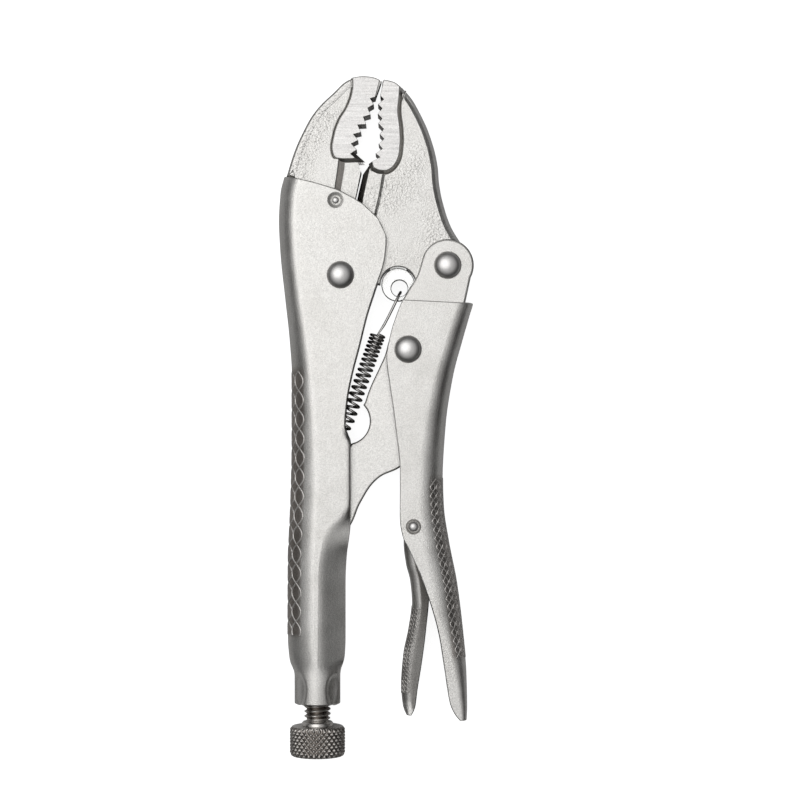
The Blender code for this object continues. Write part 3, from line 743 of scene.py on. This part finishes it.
def buildFixedJaw():
    shift = jaw["shankShift"]
    teeth = zigzag(jaw["leftTips"], jaw["leftRoots"])
    nose = [(14.9, 71.0, 1), (12.4, 71.8), (8.0, 72.3), (3.6, 71.5)]
    back = [(-3.3, 66.1), (-9.6, 59.6), (-14.0, 52.0), (-17.0, 45.2), (-19.9, 36.0, 1)]
    shank = [(-16.6, 34.9, 1), (-16.2, 33.4), (-22.1 + shift, 28), (-22.7 + shift, 19), (-22 + shift, 8)]
    shank += [(-21 + shift, 1, 1)]
    around = arc(jawPivot, jaw["lug"] + 0.3, 175, 74, 14)
    outline = stretch("rim", nose + back) + stretch("other", shank + around)
    outline += stretch("bite", [(5.6, 28.5, 1)]) + stretch("teeth", [(7.6, 37.3, 1)])
    outline += stretch("teeth", list(reversed(teeth)))
    form = bmesh.new()
    addPlate(form, flow(outline), jawLevels(0.35, 0.4))

    step = [(-2.8, 26.0, 1), (-2.0, 31.5), (-0.9, 39.0), (-0.5, 42.6, 1)]
    face = stretch("rim", [(4.3, 71.75, 1), (3.6, 71.7)] + back) + stretch("other", shank + around[:12])
    face += stretch("step", step[:-1]) + stretch("wideMoat", [step[-1], (-1.0, 42.4, 1)])
    face += stretch("moat", list(reversed(jaw["leftPadBack"]))[:-1])
    insetTop = {"other": 0, "rim": 2.9, "step": 0.0, "moat": 0.45, "wideMoat": 0.0}
    insetLow = {"other": 0, "rim": 0.35, "step": 0.0, "moat": 0.35, "wideMoat": 0.0}
    addFaces(form, flow(face), insetTop, insetLow, 0.75)
    # a thin dark sheet over the sloping step: painted shadow
    strip = step + [(1.6, 42.6, 1), (1.3, 39.0), (0.1, 31.5), (-0.9, 26.0, 1)]
    shade = [(jaw["core"] + 0.35, {"other": 0}), (jaw["core"] - 0.1, {"other": 0})]
    addPlate(form, flow(stretch("other", strip)), shade, flatFace=shadow, sideFace=shadow)

    pad = stretch("side", jaw["leftPadBack"]) + stretch("base", [(-0.2, 42.2), (5.9, 42.2, 1)])
    pad += stretch("teeth", list(reversed(teeth[:-1])))
    pad += stretch("other", [(14.2, 70.9, 1), (12.2, 71.7), (8.0, 72.2)])
    addPads(form, flow(pad), {"other": 0, "side": -0.5, "base": -1.2})
    newPiece("fixedJawForging", form, "frame", jawMetals, "fixed_jaw")


def buildMovableJaw():
    teeth = zigzag(jaw["rightTips"], jaw["rightRoots"])
    grip = stretch("teeth", teeth + [(11.2, 41.1, 1)]) + stretch("bite", [(8.0, 37.0, 1)])
    lug = stretch("bite", [(6.0, 28.5, 1)]) + stretch("other", arc(jawPivot, jaw["lug"], 70, 345, 30))
    seat = stretch("other", arc(jaw["eyeCentre"], jaw["eyeSeat"], 180, -2, 18))
    end = stretch("other", arc(leverPivot, jaw["tailRadius"], 235, 385, 16))
    back = [(43.6, 12.2), (40.3, 17.8), (37.6, 25.5), (36.0, 33.0), (35.3, 40.5), (33.0, 49.8)]
    top = [(29.3, 58.6), (24.2, 66.8), (19.8, 70.4), (15.3, 71.5, 1)]
    form = bmesh.new()
    outline = grip + lug + seat + end + stretch("rim", back + top)
    addPlate(form, flow(outline), jawLevels(1.3, 2.3))

    cutter = stretch("step", [(15.2, 37.6, 1), (13.9, 30.0), (11.6, 20.0, 1)])
    lugFace = stretch("other", arc(jawPivot, jaw["lug"], 10, -15, 4))
    face = cutter + lugFace + seat + end + stretch("rim", back + top[:1])
    face += stretch("rimEnd", [(24.6, 66.2), (22.8, 68.0, 1)])
    face += stretch("moat", jaw["rightPadBack"][1:-1]) + stretch("wideMoat", [jaw["rightPadBack"][-1]])
    insetTop = {"other": 0, "rim": 2.3, "rimEnd": 1.2, "step": 0.9, "moat": 1.0, "wideMoat": 1.0}
    insetLow = {"other": 0, "rim": 1.3, "rimEnd": 0.9, "step": 0.0, "moat": 0.9, "wideMoat": 0.9}
    addFaces(form, flow(face), insetTop, insetLow)

    pad = stretch("other", [(15.7, 71.0, 1), (19.6, 70.0)]) + stretch("side", jaw["rightPadBack"])
    pad += stretch("base", [(14.6, 37.9), (11.9, 38.9, 1)])
    pad += stretch("teeth", [(11.3, 41.1, 1)] + list(reversed(teeth)))
    addPads(form, flow(pad), {"other": 0, "side": -1.1, "base": -1.2})
    newPiece("movableJawForging", form, "jaw", jawMetals[:3], "movable_jaw")


def buildSpringEye():  # the thin eye on the movable jaw that the spring hooks into
    form = bmesh.new()
    ring = [(Vector(p[:2]), "other") for p in arc(jaw["eyeCentre"], jaw["eyeRadius"], 0, 354, 59)]
    addPlate(form, ring, roundedLevels(2.2, 0.35), holes=[(jaw["eyeHole"], jaw["eyeHoleRadius"])])
    bridge = stretch("other", [(17.5, 4.5, 1), (24.5, 4.5, 1), (24.0, 1.5, 1), (18.0, 1.5, 1)])
    addPlate(form, flow(bridge), roundedLevels(1.9, 0.2))
    newPiece("springEye", form, "jaw", [eyeHighlightNickel])


buildFixedJaw()
buildMovableJaw()
buildSpringEye()
print("jaws forged and ground")


# lever: sheet channel with two ears let in round the movable jaw

lever = {
    "wall": 1.55, "half": topOf("lever_handle"), "edgeRound": 0.35, "topY": -9.0, "tipY": -161.6,
    "slant": 1.3,  # how far the top edge falls to the right
    "seat": 2.8, "seatDepth": 0.7, "earLow": 6.3, "earHigh": 8.3, "earRadius": 9.5,
    "back": [
        (-9.0, 48.3), (-13.0, 47.4), (-24.0, 44.3), (-36.6, 41.0), (-54.6, 38.3), (-75.0, 37.2),
        (-84.2, 37.5), (-97.2, 39.4), (-112.0, 42.3), (-129.7, 44.5), (-145.3, 45.8), (-156.4, 46.0),
        (-162.0, 45.8),
    ],
    "front": [
        (-8.7, 22.7), (-13.5, 20.7), (-21.3, 18.2), (-30.0, 16.7), (-39.2, 17.8), (-52.7, 19.7),
        (-72.0, 21.6), (-88.0, 21.5), (-94.4, 22.4), (-100.1, 25.1), (-112.8, 30.4), (-129.9, 35.5),
        (-144.4, 37.9), (-155.5, 39.7), (-159.4, 41.5), (-161.9, 43.6),
    ],
    "bend": [
        (-9.0, 5.8), (-30.0, 6.6), (-60.0, 8.0), (-84.0, 8.6), (-104.0, 9.6), (-120.0, 8.6), (-140.0, 5.2),
        (-162.0, 1.9),
    ],
}


def foldedSection(back, front, half, wide, deep, foldSteps, wallSteps):
    # half a section of a channel: up from the middle of its back, round the fold, along the wall to the front
    side = 1 if front > back else -1
    turns = [radians(90 * i / foldSteps) for i in range(1, foldSteps + 1)]
    points = [Vector((back, 0)), Vector((back, half - deep))]
    points += [Vector((back + side * wide * (1 - cos(t)), half - deep + deep * sin(t))) for t in turns]
    bent = points[-1]
    return points + [mix(bent, Vector((front, half)), i / wallSteps) for i in range(1, wallSteps + 1)]


def leverSection(y):
    back, front, half = follow(lever["back"], y), follow(lever["front"], y), lever["half"]
    wide = follow(lever["bend"], y)
    return foldedSection(back, front, half, wide, min(wide, half - 1.2), 14, 12)


def leverRows():
    rows = []
    for i in range(98):
        y = mix(lever["topY"], lever["tipY"], i / 97)
        slant = lever["slant"] * (1 - ease(lever["topY"], lever["topY"] - 6, y))
        section = leverSection(y)
        back, front = section[0].x, section[-1].x
        rows.append([Vector((p.x, y - slant * (p.x - front) / (back - front), p.y)) for p in section])
    return rows


leverKnurl = {
    "start": -74.0, "end": -139.0, "pitch": 3.1, "columns": 8, "width": 2.6, "ridge": 0.26, "sunk": 0.08,
}


# painted shade: the knurled panel by the spine darkened for the shade in its recesses
def leverPaintedShade(p):
    back = follow(lever["back"], p.y)
    inPanel = ease(-72.0, -75.0, p.y) * (1 - ease(-138.5, -140.0, p.y))
    return 0.75 * inPanel * (1 - ease(4.4, 5.4, back - p.x))


def buildLever():
    form = bentSheet(leverRows(), lever["wall"], leverPaintedShade)
    made = newPiece("leverSheet", form, "lever", [handleNickel], "lever_handle", 50)
    roundEdges(made, lever["edgeRound"])
    sink(made, releasePivot, lever["seat"], lever["seatDepth"], lever["half"])
    ridges = wireMesh("knurl", ridgeLines(leverSection, leverKnurl, True), leverKnurl["ridge"], sides=2)
    newPiece("leverKnurl", ridges, "lever", [ridgeNickel], None, 60)

    corner = [(45.4, -9.6, 1), (44.0, -14.0, 1), (23.2, -14.0, 1), (22.4, -9.4, 1), (24.9, -5.1), (28.0, 0.2)]
    outline = stretch("other", corner + arc(leverPivot, lever["earRadius"], 160, -28, 26))
    form = bmesh.new()
    for side in (1, -1):
        levels = []
        for drop, inset in ((0, 0.8), (0.1, 0.42), (0.35, 0.12), (0.8, 0)):
            levels.append((side * (lever["earHigh"] - drop), {"other": inset}))
        levels.append((side * lever["earLow"], {"other": 0}))
        addPlate(form, flow(outline), levels)
    newPiece("leverEars", form, "lever", [handleNickel])


buildLever()
print("lever folded")


# link and release lever

link = {
    "half": 5.0, "edge": 0.7, "headRadius": 7.6, "bore": 3.6, "boss": 6.6, "bossHalf": 7.0, "bossEdge": 0.3,
    "noseCentre": (-8.6, -97.0), "noseRadius": 4.6, "notchCentre": (2.2, -53.1), "notchRadius": 8.4,
}


def buildLink():
    head = arc(linkPivot, link["headRadius"], 20, 160, 12)
    left = [(16.0, -29.4), (14.2, -33.4), (10.5, -41.5), (8.9, -46.2, 1)]
    notch = arc(link["notchCentre"], link["notchRadius"], 44, -78, 16)
    nose = arc(link["noseCentre"], link["noseRadius"], 165, 330, 14)
    belly = [(3.4, -91.3), (7.3, -82.7), (13.5, -74.1), (21.4, -70.1), (28.0, -65.0), (31.5, -52.0)]
    outline = stretch("other", head + left + notch + [(0.2, -66.5), (-8.0, -83.0)] + nose + belly)
    form = bmesh.new()
    # the link's rounded sides in the darker nickel: painted shade
    addPlate(form, flow(outline), roundedLevels(link["half"], link["edge"], 4), sideFace=1)
    bore, boss, high, edge = link["bore"], link["boss"], link["bossHalf"], link["bossEdge"]
    profile = [(bore, high), (boss - edge, high), (boss, high - edge)]
    addTurned(form, profile + [(radius, -z) for radius, z in reversed(profile)], linkPivot)
    newPiece("linkPlate", form, "link", [linkNickel, shadeSideNickel], "toggle_link")


release = {
    "wall": 1.5, "half": topOf("release_lever"), "edgeRound": 0.3, "bend": 4.2, "topY": -72.0, "tipY": -160.0,
    "back": [
        (-72.0, 25.4), (-82.0, 23.9), (-90.0, 23.1), (-97.5, 22.9), (-105.4, 23.8), (-111.3, 25.3),
        (-120.0, 26.0), (-128.8, 24.9), (-139.1, 22.9), (-151.0, 22.1), (-157.0, 22.7), (-160.3, 24.2),
    ],
    "front": [
        (-72.0, 28.6), (-80.0, 30.6), (-92.0, 31.0), (-104.0, 31.4), (-116.0, 32.2), (-128.8, 31.1),
        (-140.5, 29.6), (-150.5, 28.0), (-157.2, 27.1), (-160.3, 25.6),
    ],
}


def releaseSection(y):
    back, front = follow(release["back"], y), follow(release["front"], y)
    bend = min(release["bend"], (front - back) * 0.7)
    return foldedSection(back, front, release["half"], bend, bend, 10, 6)


releaseKnurl = {
    "start": -121.0, "end": -152.0, "pitch": 1.5, "columns": 9, "width": 1.9, "ridge": 0.22, "sunk": 0.03,
}


# painted shadow and painted dark reflection on the flange, darkest at the top; a little painted shade on the
# knurled web
def releasePaintedShadow(p):
    across = ease(2.6, 3.6, p.x - follow(release["back"], p.y))
    web = 0.35 * ease(-119.0, -122.0, p.y) * (1 - ease(-154.0, -156.0, p.y))
    flange = mix(1, 0.78, ease(-112.0, -140.0, p.y))
    return mix(web, flange, across)


def buildRelease():
    heights = [mix(release["topY"], release["tipY"], i / 60) for i in range(61)]
    rows = [[Vector((p.x, y, p.y)) for p in releaseSection(y)] for y in heights]
    form = bentSheet(rows, release["wall"], releasePaintedShadow)
    made = newPiece("releaseSheet", form, "release", [releaseNickel], "release_lever", 50)
    roundEdges(made, release["edgeRound"])
    ridges = wireMesh("knurl", ridgeLines(releaseSection, releaseKnurl, True), releaseKnurl["ridge"], sides=2)
    newPiece("releaseKnurl", ridges, "release", [ridgeNickel], None, 60)


buildLink()
buildRelease()
print("link and release lever made")


# rivets, pin and nut

rivet = {
    "head": 4.95, "dome": 2.9, "shaft": 3.4, "lift": 0.3, "rimDrop": 0.35, "steps": 14,
    "rearChamfer": 0.3, "rearRound": 0.35, "dimple": [(1.6, 0), (1.1, 0.3), (0, 0.4)],
}
# the two small heads below stand in a pressed seat: (radius, height) from the sheet's front or its rear
releaseRivet = {
    "head": 2.0, "dome": 1.3, "headLevel": -0.35, "domeSteps": 10, "steps": 40,
    "front": [(2.05, -0.5), (2.0, -0.68), (1.6, -0.68)],
    "rear": [(1.6, -0.1), (2.0, -0.1), (2.0, -0.5), (1.5, -0.8), (0, -0.8)],
    "ring": [(2.1, -0.6), (2.3, -0.55), (2.6, -0.1), (2.78, 0.02), (2.78, -0.68), (2.1, -0.68)],
}
stakePin = {
    "head": 1.25, "dome": 0.6, "headLevel": -0.5, "domeSteps": 8, "steps": 32,
    "front": [(1.3, -0.9)],
    "rear": [(1.3, 0), (0, 0)],
    "ring": [(1.3, -0.62), (1.7, -0.6), (2.2, -0.4), (2.7, -0.08), (2.98, 0), (2.98, -0.68), (1.3, -0.68)],
}
nut = {"bore": 5.15, "outer": 6.05, "face": (5.5, 5.8), "boreChamfer": 0.4, "outerChamfer": 0.3}


def domeProfile(head, dome, seat, steps):
    turns = [radians(84 * i / steps) for i in range(steps + 1)]
    low = cos(turns[-1])
    return [(head * sin(t) / sin(turns[-1]), seat + dome * (cos(t) - low) / (1 - low)) for t in turns]


def buildRivet(name, node, body, centre, seat):
    head, shaft, drop, rear = rivet["head"], rivet["shaft"], rivet["rimDrop"], floorLevel
    low = seat + rivet["lift"]
    profile = domeProfile(head - 0.1, rivet["dome"] - drop, low + drop, rivet["steps"])
    profile += [(head, low + drop * 0.6), (head - 0.15, low), (shaft, low), (shaft, -low)]
    profile += [(head - rivet["rearChamfer"], -low), (head, -low - 0.2)]
    profile += [(head, rear + rivet["rearRound"]), (head - rivet["rearRound"], rear)]
    profile += [(radius, rear + rise) for radius, rise in rivet["dimple"]]
    form = bmesh.new()
    addTurned(form, profile, centre)
    newPiece(name, form, body, [rivetNickel], node, 40)


def buildSeatedHead(names, node, body, centre, half, sizes):
    profile = domeProfile(sizes["head"], sizes["dome"], half + sizes["headLevel"], sizes["domeSteps"])
    profile += [(radius, half + z) for radius, z in sizes["front"]]
    profile += [(radius, z - half) for radius, z in sizes["rear"]]
    form = bmesh.new()
    addTurned(form, profile, centre, steps=sizes["steps"])
    newPiece(names[0], form, body, [rivetNickel], node, 40)
    # the seat round the head in the darker nickel: painted shade
    ring = [(radius, half + z) for radius, z in sizes["ring"]]
    form = bmesh.new()
    addTurned(form, ring + ring[:1], centre, steps=40)
    newPiece(names[1], form, body, [shadeSideNickel], None, 60)


def buildNut():
    low, high = [(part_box("threaded_insert")[k].y - zero.y) / mm for k in (0, 1)]
    bore, outer = nut["bore"], nut["outer"]
    faceIn, faceOut = nut["face"]
    profile = [(bore, high - nut["boreChamfer"]), (faceIn, high), (faceOut, high)]
    profile += [(outer, high - nut["outerChamfer"]), (outer, low + nut["outerChamfer"])]
    profile += [(faceOut, low), (faceIn, low), (bore, low + nut["boreChamfer"])]
    form = bmesh.new()
    addTurned(form, profile + profile[:1], (screwX, 0), "y")
    newPiece("collarNut", form, "frame", [screwNickel], "threaded_insert", 40)


buildRivet("jawRivet", "jaw_pivot_rivet", "frame", jawPivot, handle["half"])
buildRivet("leverRivet", "lever_pivot_rivet", "jaw", leverPivot, lever["earHigh"])
buildRivet("linkRivet", "link_pivot_rivet", "lever", linkPivot, lever["half"])
buildSeatedHead(("releaseRivet", "releaseRivetRing"), "release_pivot_rivet",
                "lever", releasePivot, lever["half"], releaseRivet)
buildSeatedHead(("jawPinBump", "jawPinDish"), "jaw_stake_pin",
                "frame", jawPin, handle["half"], stakePin)
buildNut()
print("rivets set")


# adjusting screw and knurled knob

screw = {
    "radius": 4.85, "root": 3.85, "pitch": 1.75, "steps": 44, "tipRound": 1.2, "runOut": 1.2,
    "neck": 5.7, "neckLength": 1.6, "neckRound": 0.5, "shoulder": 4.4,
}
knob = {"radius": 10.15, "length": 11.1, "round": 1.5, "depth": 0.8, "cells": 30, "rise": 2.35}


def gridTube(form, rings, shades):
    # painted shade per vertex, from the shades given
    paintedShade = form.verts.layers.float.new("paintedShade")
    rows = [[form.verts.new(p) for p in ring] for ring in rings]
    for row, values in zip(rows, shades):
        for vertex, value in zip(row, values):
            vertex[paintedShade] = value
    for a, b in zip(rows, rows[1:]):
        for i in range(len(a)):
            form.faces.new((a[i - 1], a[i], b[i], b[i - 1]))
    form.faces.new(rows[0])
    form.faces.new(rows[-1])


def sawtooth(phase):  # 0 at the root, 1 at the crest, with narrow flats at both
    return min(max(1.35 * (1 - abs(2 * (phase % 1) - 1)) - 0.17, 0), 1)


def buildScrew():
    high = (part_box("adjusting_screw")[1].y - zero.y) / mm
    low = knobTop + screw["neckLength"]
    count = round((high - low) / (screw["pitch"] / 8))
    rings, shades = [], []
    for j in range(count + 1):
        y = mix(high, low, j / count)
        lead = min(1, (high - y) / screw["tipRound"])  # the tip is chamfered
        fade = ease(0, screw["runOut"], y - low - 0.2)  # the thread runs out above the neck
        ring = []
        shades.append([])
        for i in range(screw["steps"]):
            turn = 2 * pi * i / screw["steps"]
            crest = sawtooth(y / screw["pitch"] + i / screw["steps"])
            # painted shade in the thread's roots
            shades[-1].append((1 - crest) * fade)
            r = mix(screw["root"], screw["radius"], crest * fade)
            r = min(r, mix(screw["radius"] - screw["tipRound"], screw["radius"], lead))
            ring.append((screwX + r * cos(turn), y, r * sin(turn)))
        rings.append(ring)
    form = bmesh.new()
    gridTube(form, rings, shades)
    neck, edge = screw["neck"], screw["neckRound"]
    profile = [(0, low + 0.1), (screw["shoulder"], low + 0.1), (neck - edge, low), (neck, low - edge)]
    addTurned(form, profile + [(neck, knobTop + 0.05), (0, knobTop + 0.05)], (screwX, 0), "y")
    newPiece("threadedScrew", form, "screw", [screwNickel], "adjusting_screw", 60)


def diamond(turnShare, y):  # crossed cuts leave rows of small pyramids
    u = turnShare * knob["cells"] + y / knob["rise"]
    v = turnShare * knob["cells"] - y / knob["rise"]
    tents = [1 - abs(2 * (k % 1) - 1) for k in (u, v)]
    return min(1, 1.25 * min(tents))


def buildKnob():
    top, low = knobTop, knobTop - knob["length"]
    radius, edge, steps = knob["radius"], knob["round"], knob["cells"] * 8
    turns = [radians(a) for a in (0, 22, 45, 68, 90)]
    stations = [(top - edge * (1 - cos(t)), edge * (1 - sin(t))) for t in turns]
    stations += [(mix(top - edge, low + edge, i / 38), 0) for i in range(1, 38)]
    stations += [(low + edge * (1 - sin(t)), edge * (1 - cos(t))) for t in turns]
    rings, shades = [], []
    for y, inset in stations:
        sunk = 1 - ease(0.25, 1.1, inset)
        cut = knob["depth"] * sunk
        ring = []
        # painted shade in the cuts between the diamonds
        shades.append([sunk * (1 - diamond(i / steps, y)) for i in range(steps)])
        for i in range(steps):
            turn = 2 * pi * i / steps
            r = radius - inset - cut * (1 - diamond(i / steps, y))
            ring.append((screwX + r * cos(turn), y, r * sin(turn)))
        rings.append(ring)
    form = bmesh.new()
    gridTube(form, rings, shades)
    newPiece("knurledHead", form, "knob", [screwNickel], "knurled_knob", 70)


buildScrew()
buildKnob()
print("screw cut and knob knurled")


# return spring: a drawn coil between the eye and a tab inside the handle

spring = {
    "wire": 0.5, "coil": 2.4, "turns": 18, "perTurn": 20, "start": (13.6, -21.4), "end": (0.6, -57.4),
    "anchor": (-2.6, -62.0), "blendFrom": (-2.6, -60.0), "blendTo": (21.0, -6.0),
    # the hooks: steps (x, y, z) from the middle of the eye's hole, from the hole's lowest point,
    # from the coil's start, and from the anchor
    "throughEye": [(0.4, -1.2, -3.2), (0.3, -1.7, -1.5), (0.1, -1.9, 1.0)],
    "belowEye": [(-0.5, -0.1, 3.1), (-1.7, -2.8, 3.2), (-3.9, -7.2, 2.9)],
    "aboveCoil": [(2.2, 3.4, 2.5)],
    "roundTab": [(1.0, 3.6, 1.4), (-0.2, 1.7, 0), (-1.2, 1.2, -1.6)],
    "tabHalf": 0.9, "tabLength": 3.0, "tabFront": 2.4, "tabRear": -6.6,
}


def beside(place, steps):
    return [Vector((place[0] + x, place[1] + y, z)) for x, y, z in steps]


def buildSpring():
    start, end = Vector(spring["start"]), Vector(spring["end"])
    way = (end - start).normalized()
    across = Vector((-way.y, way.x))
    eye = Vector(jaw["eyeHole"])
    eyeLow = eye - Vector((0, jaw["eyeHoleRadius"]))
    points = beside(eye, spring["throughEye"]) + beside(eyeLow, spring["belowEye"])
    points += beside(start, spring["aboveCoil"])
    total = spring["turns"] * spring["perTurn"]
    for i in range(total + 1):
        share = i / total
        turn = 2 * pi * i / spring["perTurn"]
        reach = 0.55 * share + 0.45 * share * share  # the upper turns lie closer together
        radius = spring["coil"] * (1 - 0.25 * ease(0.9, 1, share))
        spot = start + way * ((end - start).length * reach) + across * (radius * sin(turn))
        points.append(Vector((spot.x, spot.y, radius * cos(turn))))
    points += beside(spring["anchor"], spring["roundTab"])
    form = wireMesh("spring", [points], spring["wire"], sides=4)
    made = newPiece("returnSpring", form, None, [springWire], "return_spring", 60)
    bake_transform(made)


def buildSpringTab():  # lanced from the handle's rear wall
    x, y = spring["anchor"]
    half, end = spring["tabHalf"], y - spring["tabLength"]
    outline = stretch("other", [(x - half, end, 1), (x + half, end, 1), (x + half, y, 1), (x - half, y, 1)])
    front, rear = spring["tabFront"], spring["tabRear"]
    levels = [(front, {"other": 0.35}), (front - 0.4, {"other": 0}), (rear, {"other": 0})]
    form = bmesh.new()
    addPlate(form, flow(outline), levels)
    newPiece("springTab", form, "frame", [handleNickel])


buildSpring()
buildSpringTab()
print("spring wound")


# floor, light and camera

studio = {
    "floorSize": 3.0, "floorGlow": 0.88, "floorTone": 0.55, "floorLevel": -0.00008,
    "skyPlace": (-0.36, 0.27, 1.3), "skySize": 1.35, "skyPower": 7.2, "roomPale": 0.9,
    # the room's brightness by height above the horizon, brighter towards the upper left
    "dome": [(0.0, 0.01), (0.22, 0.02), (0.5, 0.17), (0.75, 0.7)], "lean": (-0.13, 0.1, 1.0),
    "cameraOver": (21.6, -45.4), "cameraHeight": 0.85, "lens": 104.5,
}


def buildFloor():
    form = bmesh.new()
    bmesh.ops.create_grid(form, x_segments=8, y_segments=8, size=studio["floorSize"] / 2)
    mesh = bpy.data.meshes.new("paleFloor")
    form.to_mesh(mesh)
    form.free()
    floor = addObject("paleFloor", mesh)
    made, shader, add, link = nodeMaker("paleFloorPaper")
    paper = add("ShaderNodeTexNoise", Scale=900, Detail=2)
    relief = add("ShaderNodeBump", Strength=0.05, Distance=0.0002)
    link(paper.outputs["Fac"], relief.inputs["Height"])
    link(relief.outputs["Normal"], shader.inputs["Normal"])
    shader.inputs["Base Color"].default_value = (*[studio["floorTone"]] * 3, 1)
    shader.inputs["Roughness"].default_value = 0.9
    shader.inputs["Emission Color"].default_value = (1, 1, 1, 1)
    seen = add("ShaderNodeLightPath")  # the floor glows for the camera only
    glow = add("ShaderNodeMath", operation="MULTIPLY")
    glow.inputs[1].default_value = studio["floorGlow"]
    link(seen.outputs["Is Camera Ray"], glow.inputs[0])
    link(glow.outputs["Value"], shader.inputs["Emission Strength"])
    mesh.materials.append(made)
    floor.location.z = studio["floorLevel"]  # just clear of the rivets' rear heads


def buildSkyPanel():
    lamp = bpy.data.lights.new("skyPanel", "AREA")
    lamp.shape = "DISK"
    lamp.size = studio["skySize"]
    lamp.energy = studio["skyPower"]
    place = Vector(studio["skyPlace"])
    made = addObject("skyPanel", lamp)
    made.location = place
    made.rotation_mode = "QUATERNION"
    made.rotation_quaternion = (-place).to_track_quat("-Z", "Y")


def buildRoom():
    world = bpy.data.worlds.new("studio")
    bpy.context.scene.world = world
    world.use_nodes = True
    nodes, links = world.node_tree.nodes, world.node_tree.links
    room = nodes["Background"]
    direction = nodes.new("ShaderNodeTexCoord")
    lean = nodes.new("ShaderNodeVectorMath")
    lean.operation = "DOT_PRODUCT"
    lean.inputs[1].default_value = studio["lean"]
    dome = nodes.new("ShaderNodeValToRGB")
    while len(dome.color_ramp.elements) < len(studio["dome"]):
        dome.color_ramp.elements.new(0.5)
    for element, (height, value) in zip(dome.color_ramp.elements, studio["dome"]):
        element.position = height
        element.color = (value, value, value, 1)
    links.new(direction.outputs["Generated"], lean.inputs[0])
    links.new(lean.outputs["Value"], dome.inputs["Fac"])
    links.new(dome.outputs["Color"], room.inputs["Color"])
    pale = nodes.new("ShaderNodeBackground")
    pale.inputs["Color"].default_value = (1, 1, 1, 1)
    pale.inputs["Strength"].default_value = studio["roomPale"]
    seen = nodes.new("ShaderNodeLightPath")
    both = nodes.new("ShaderNodeMixShader")
    links.new(seen.outputs["Is Camera Ray"], both.inputs[0])
    links.new(room.outputs[0], both.inputs[1])
    links.new(pale.outputs[0], both.inputs[2])
    links.new(both.outputs[0], nodes["World Output"].inputs["Surface"])


def buildCamera():
    lens = bpy.data.cameras.new("camera")
    lens.lens = studio["lens"]
    lens.sensor_width = 36
    lens.clip_end = 20
    made = addObject("camera", lens)
    made.location = placed(*studio["cameraOver"]) + Vector((0, 0, studio["cameraHeight"]))
    bpy.context.scene.camera = made


buildFloor()
buildRoom()
buildSkyPanel()
buildCamera()
bpy.context.scene.view_settings.view_transform = "Standard"
print("studio set")
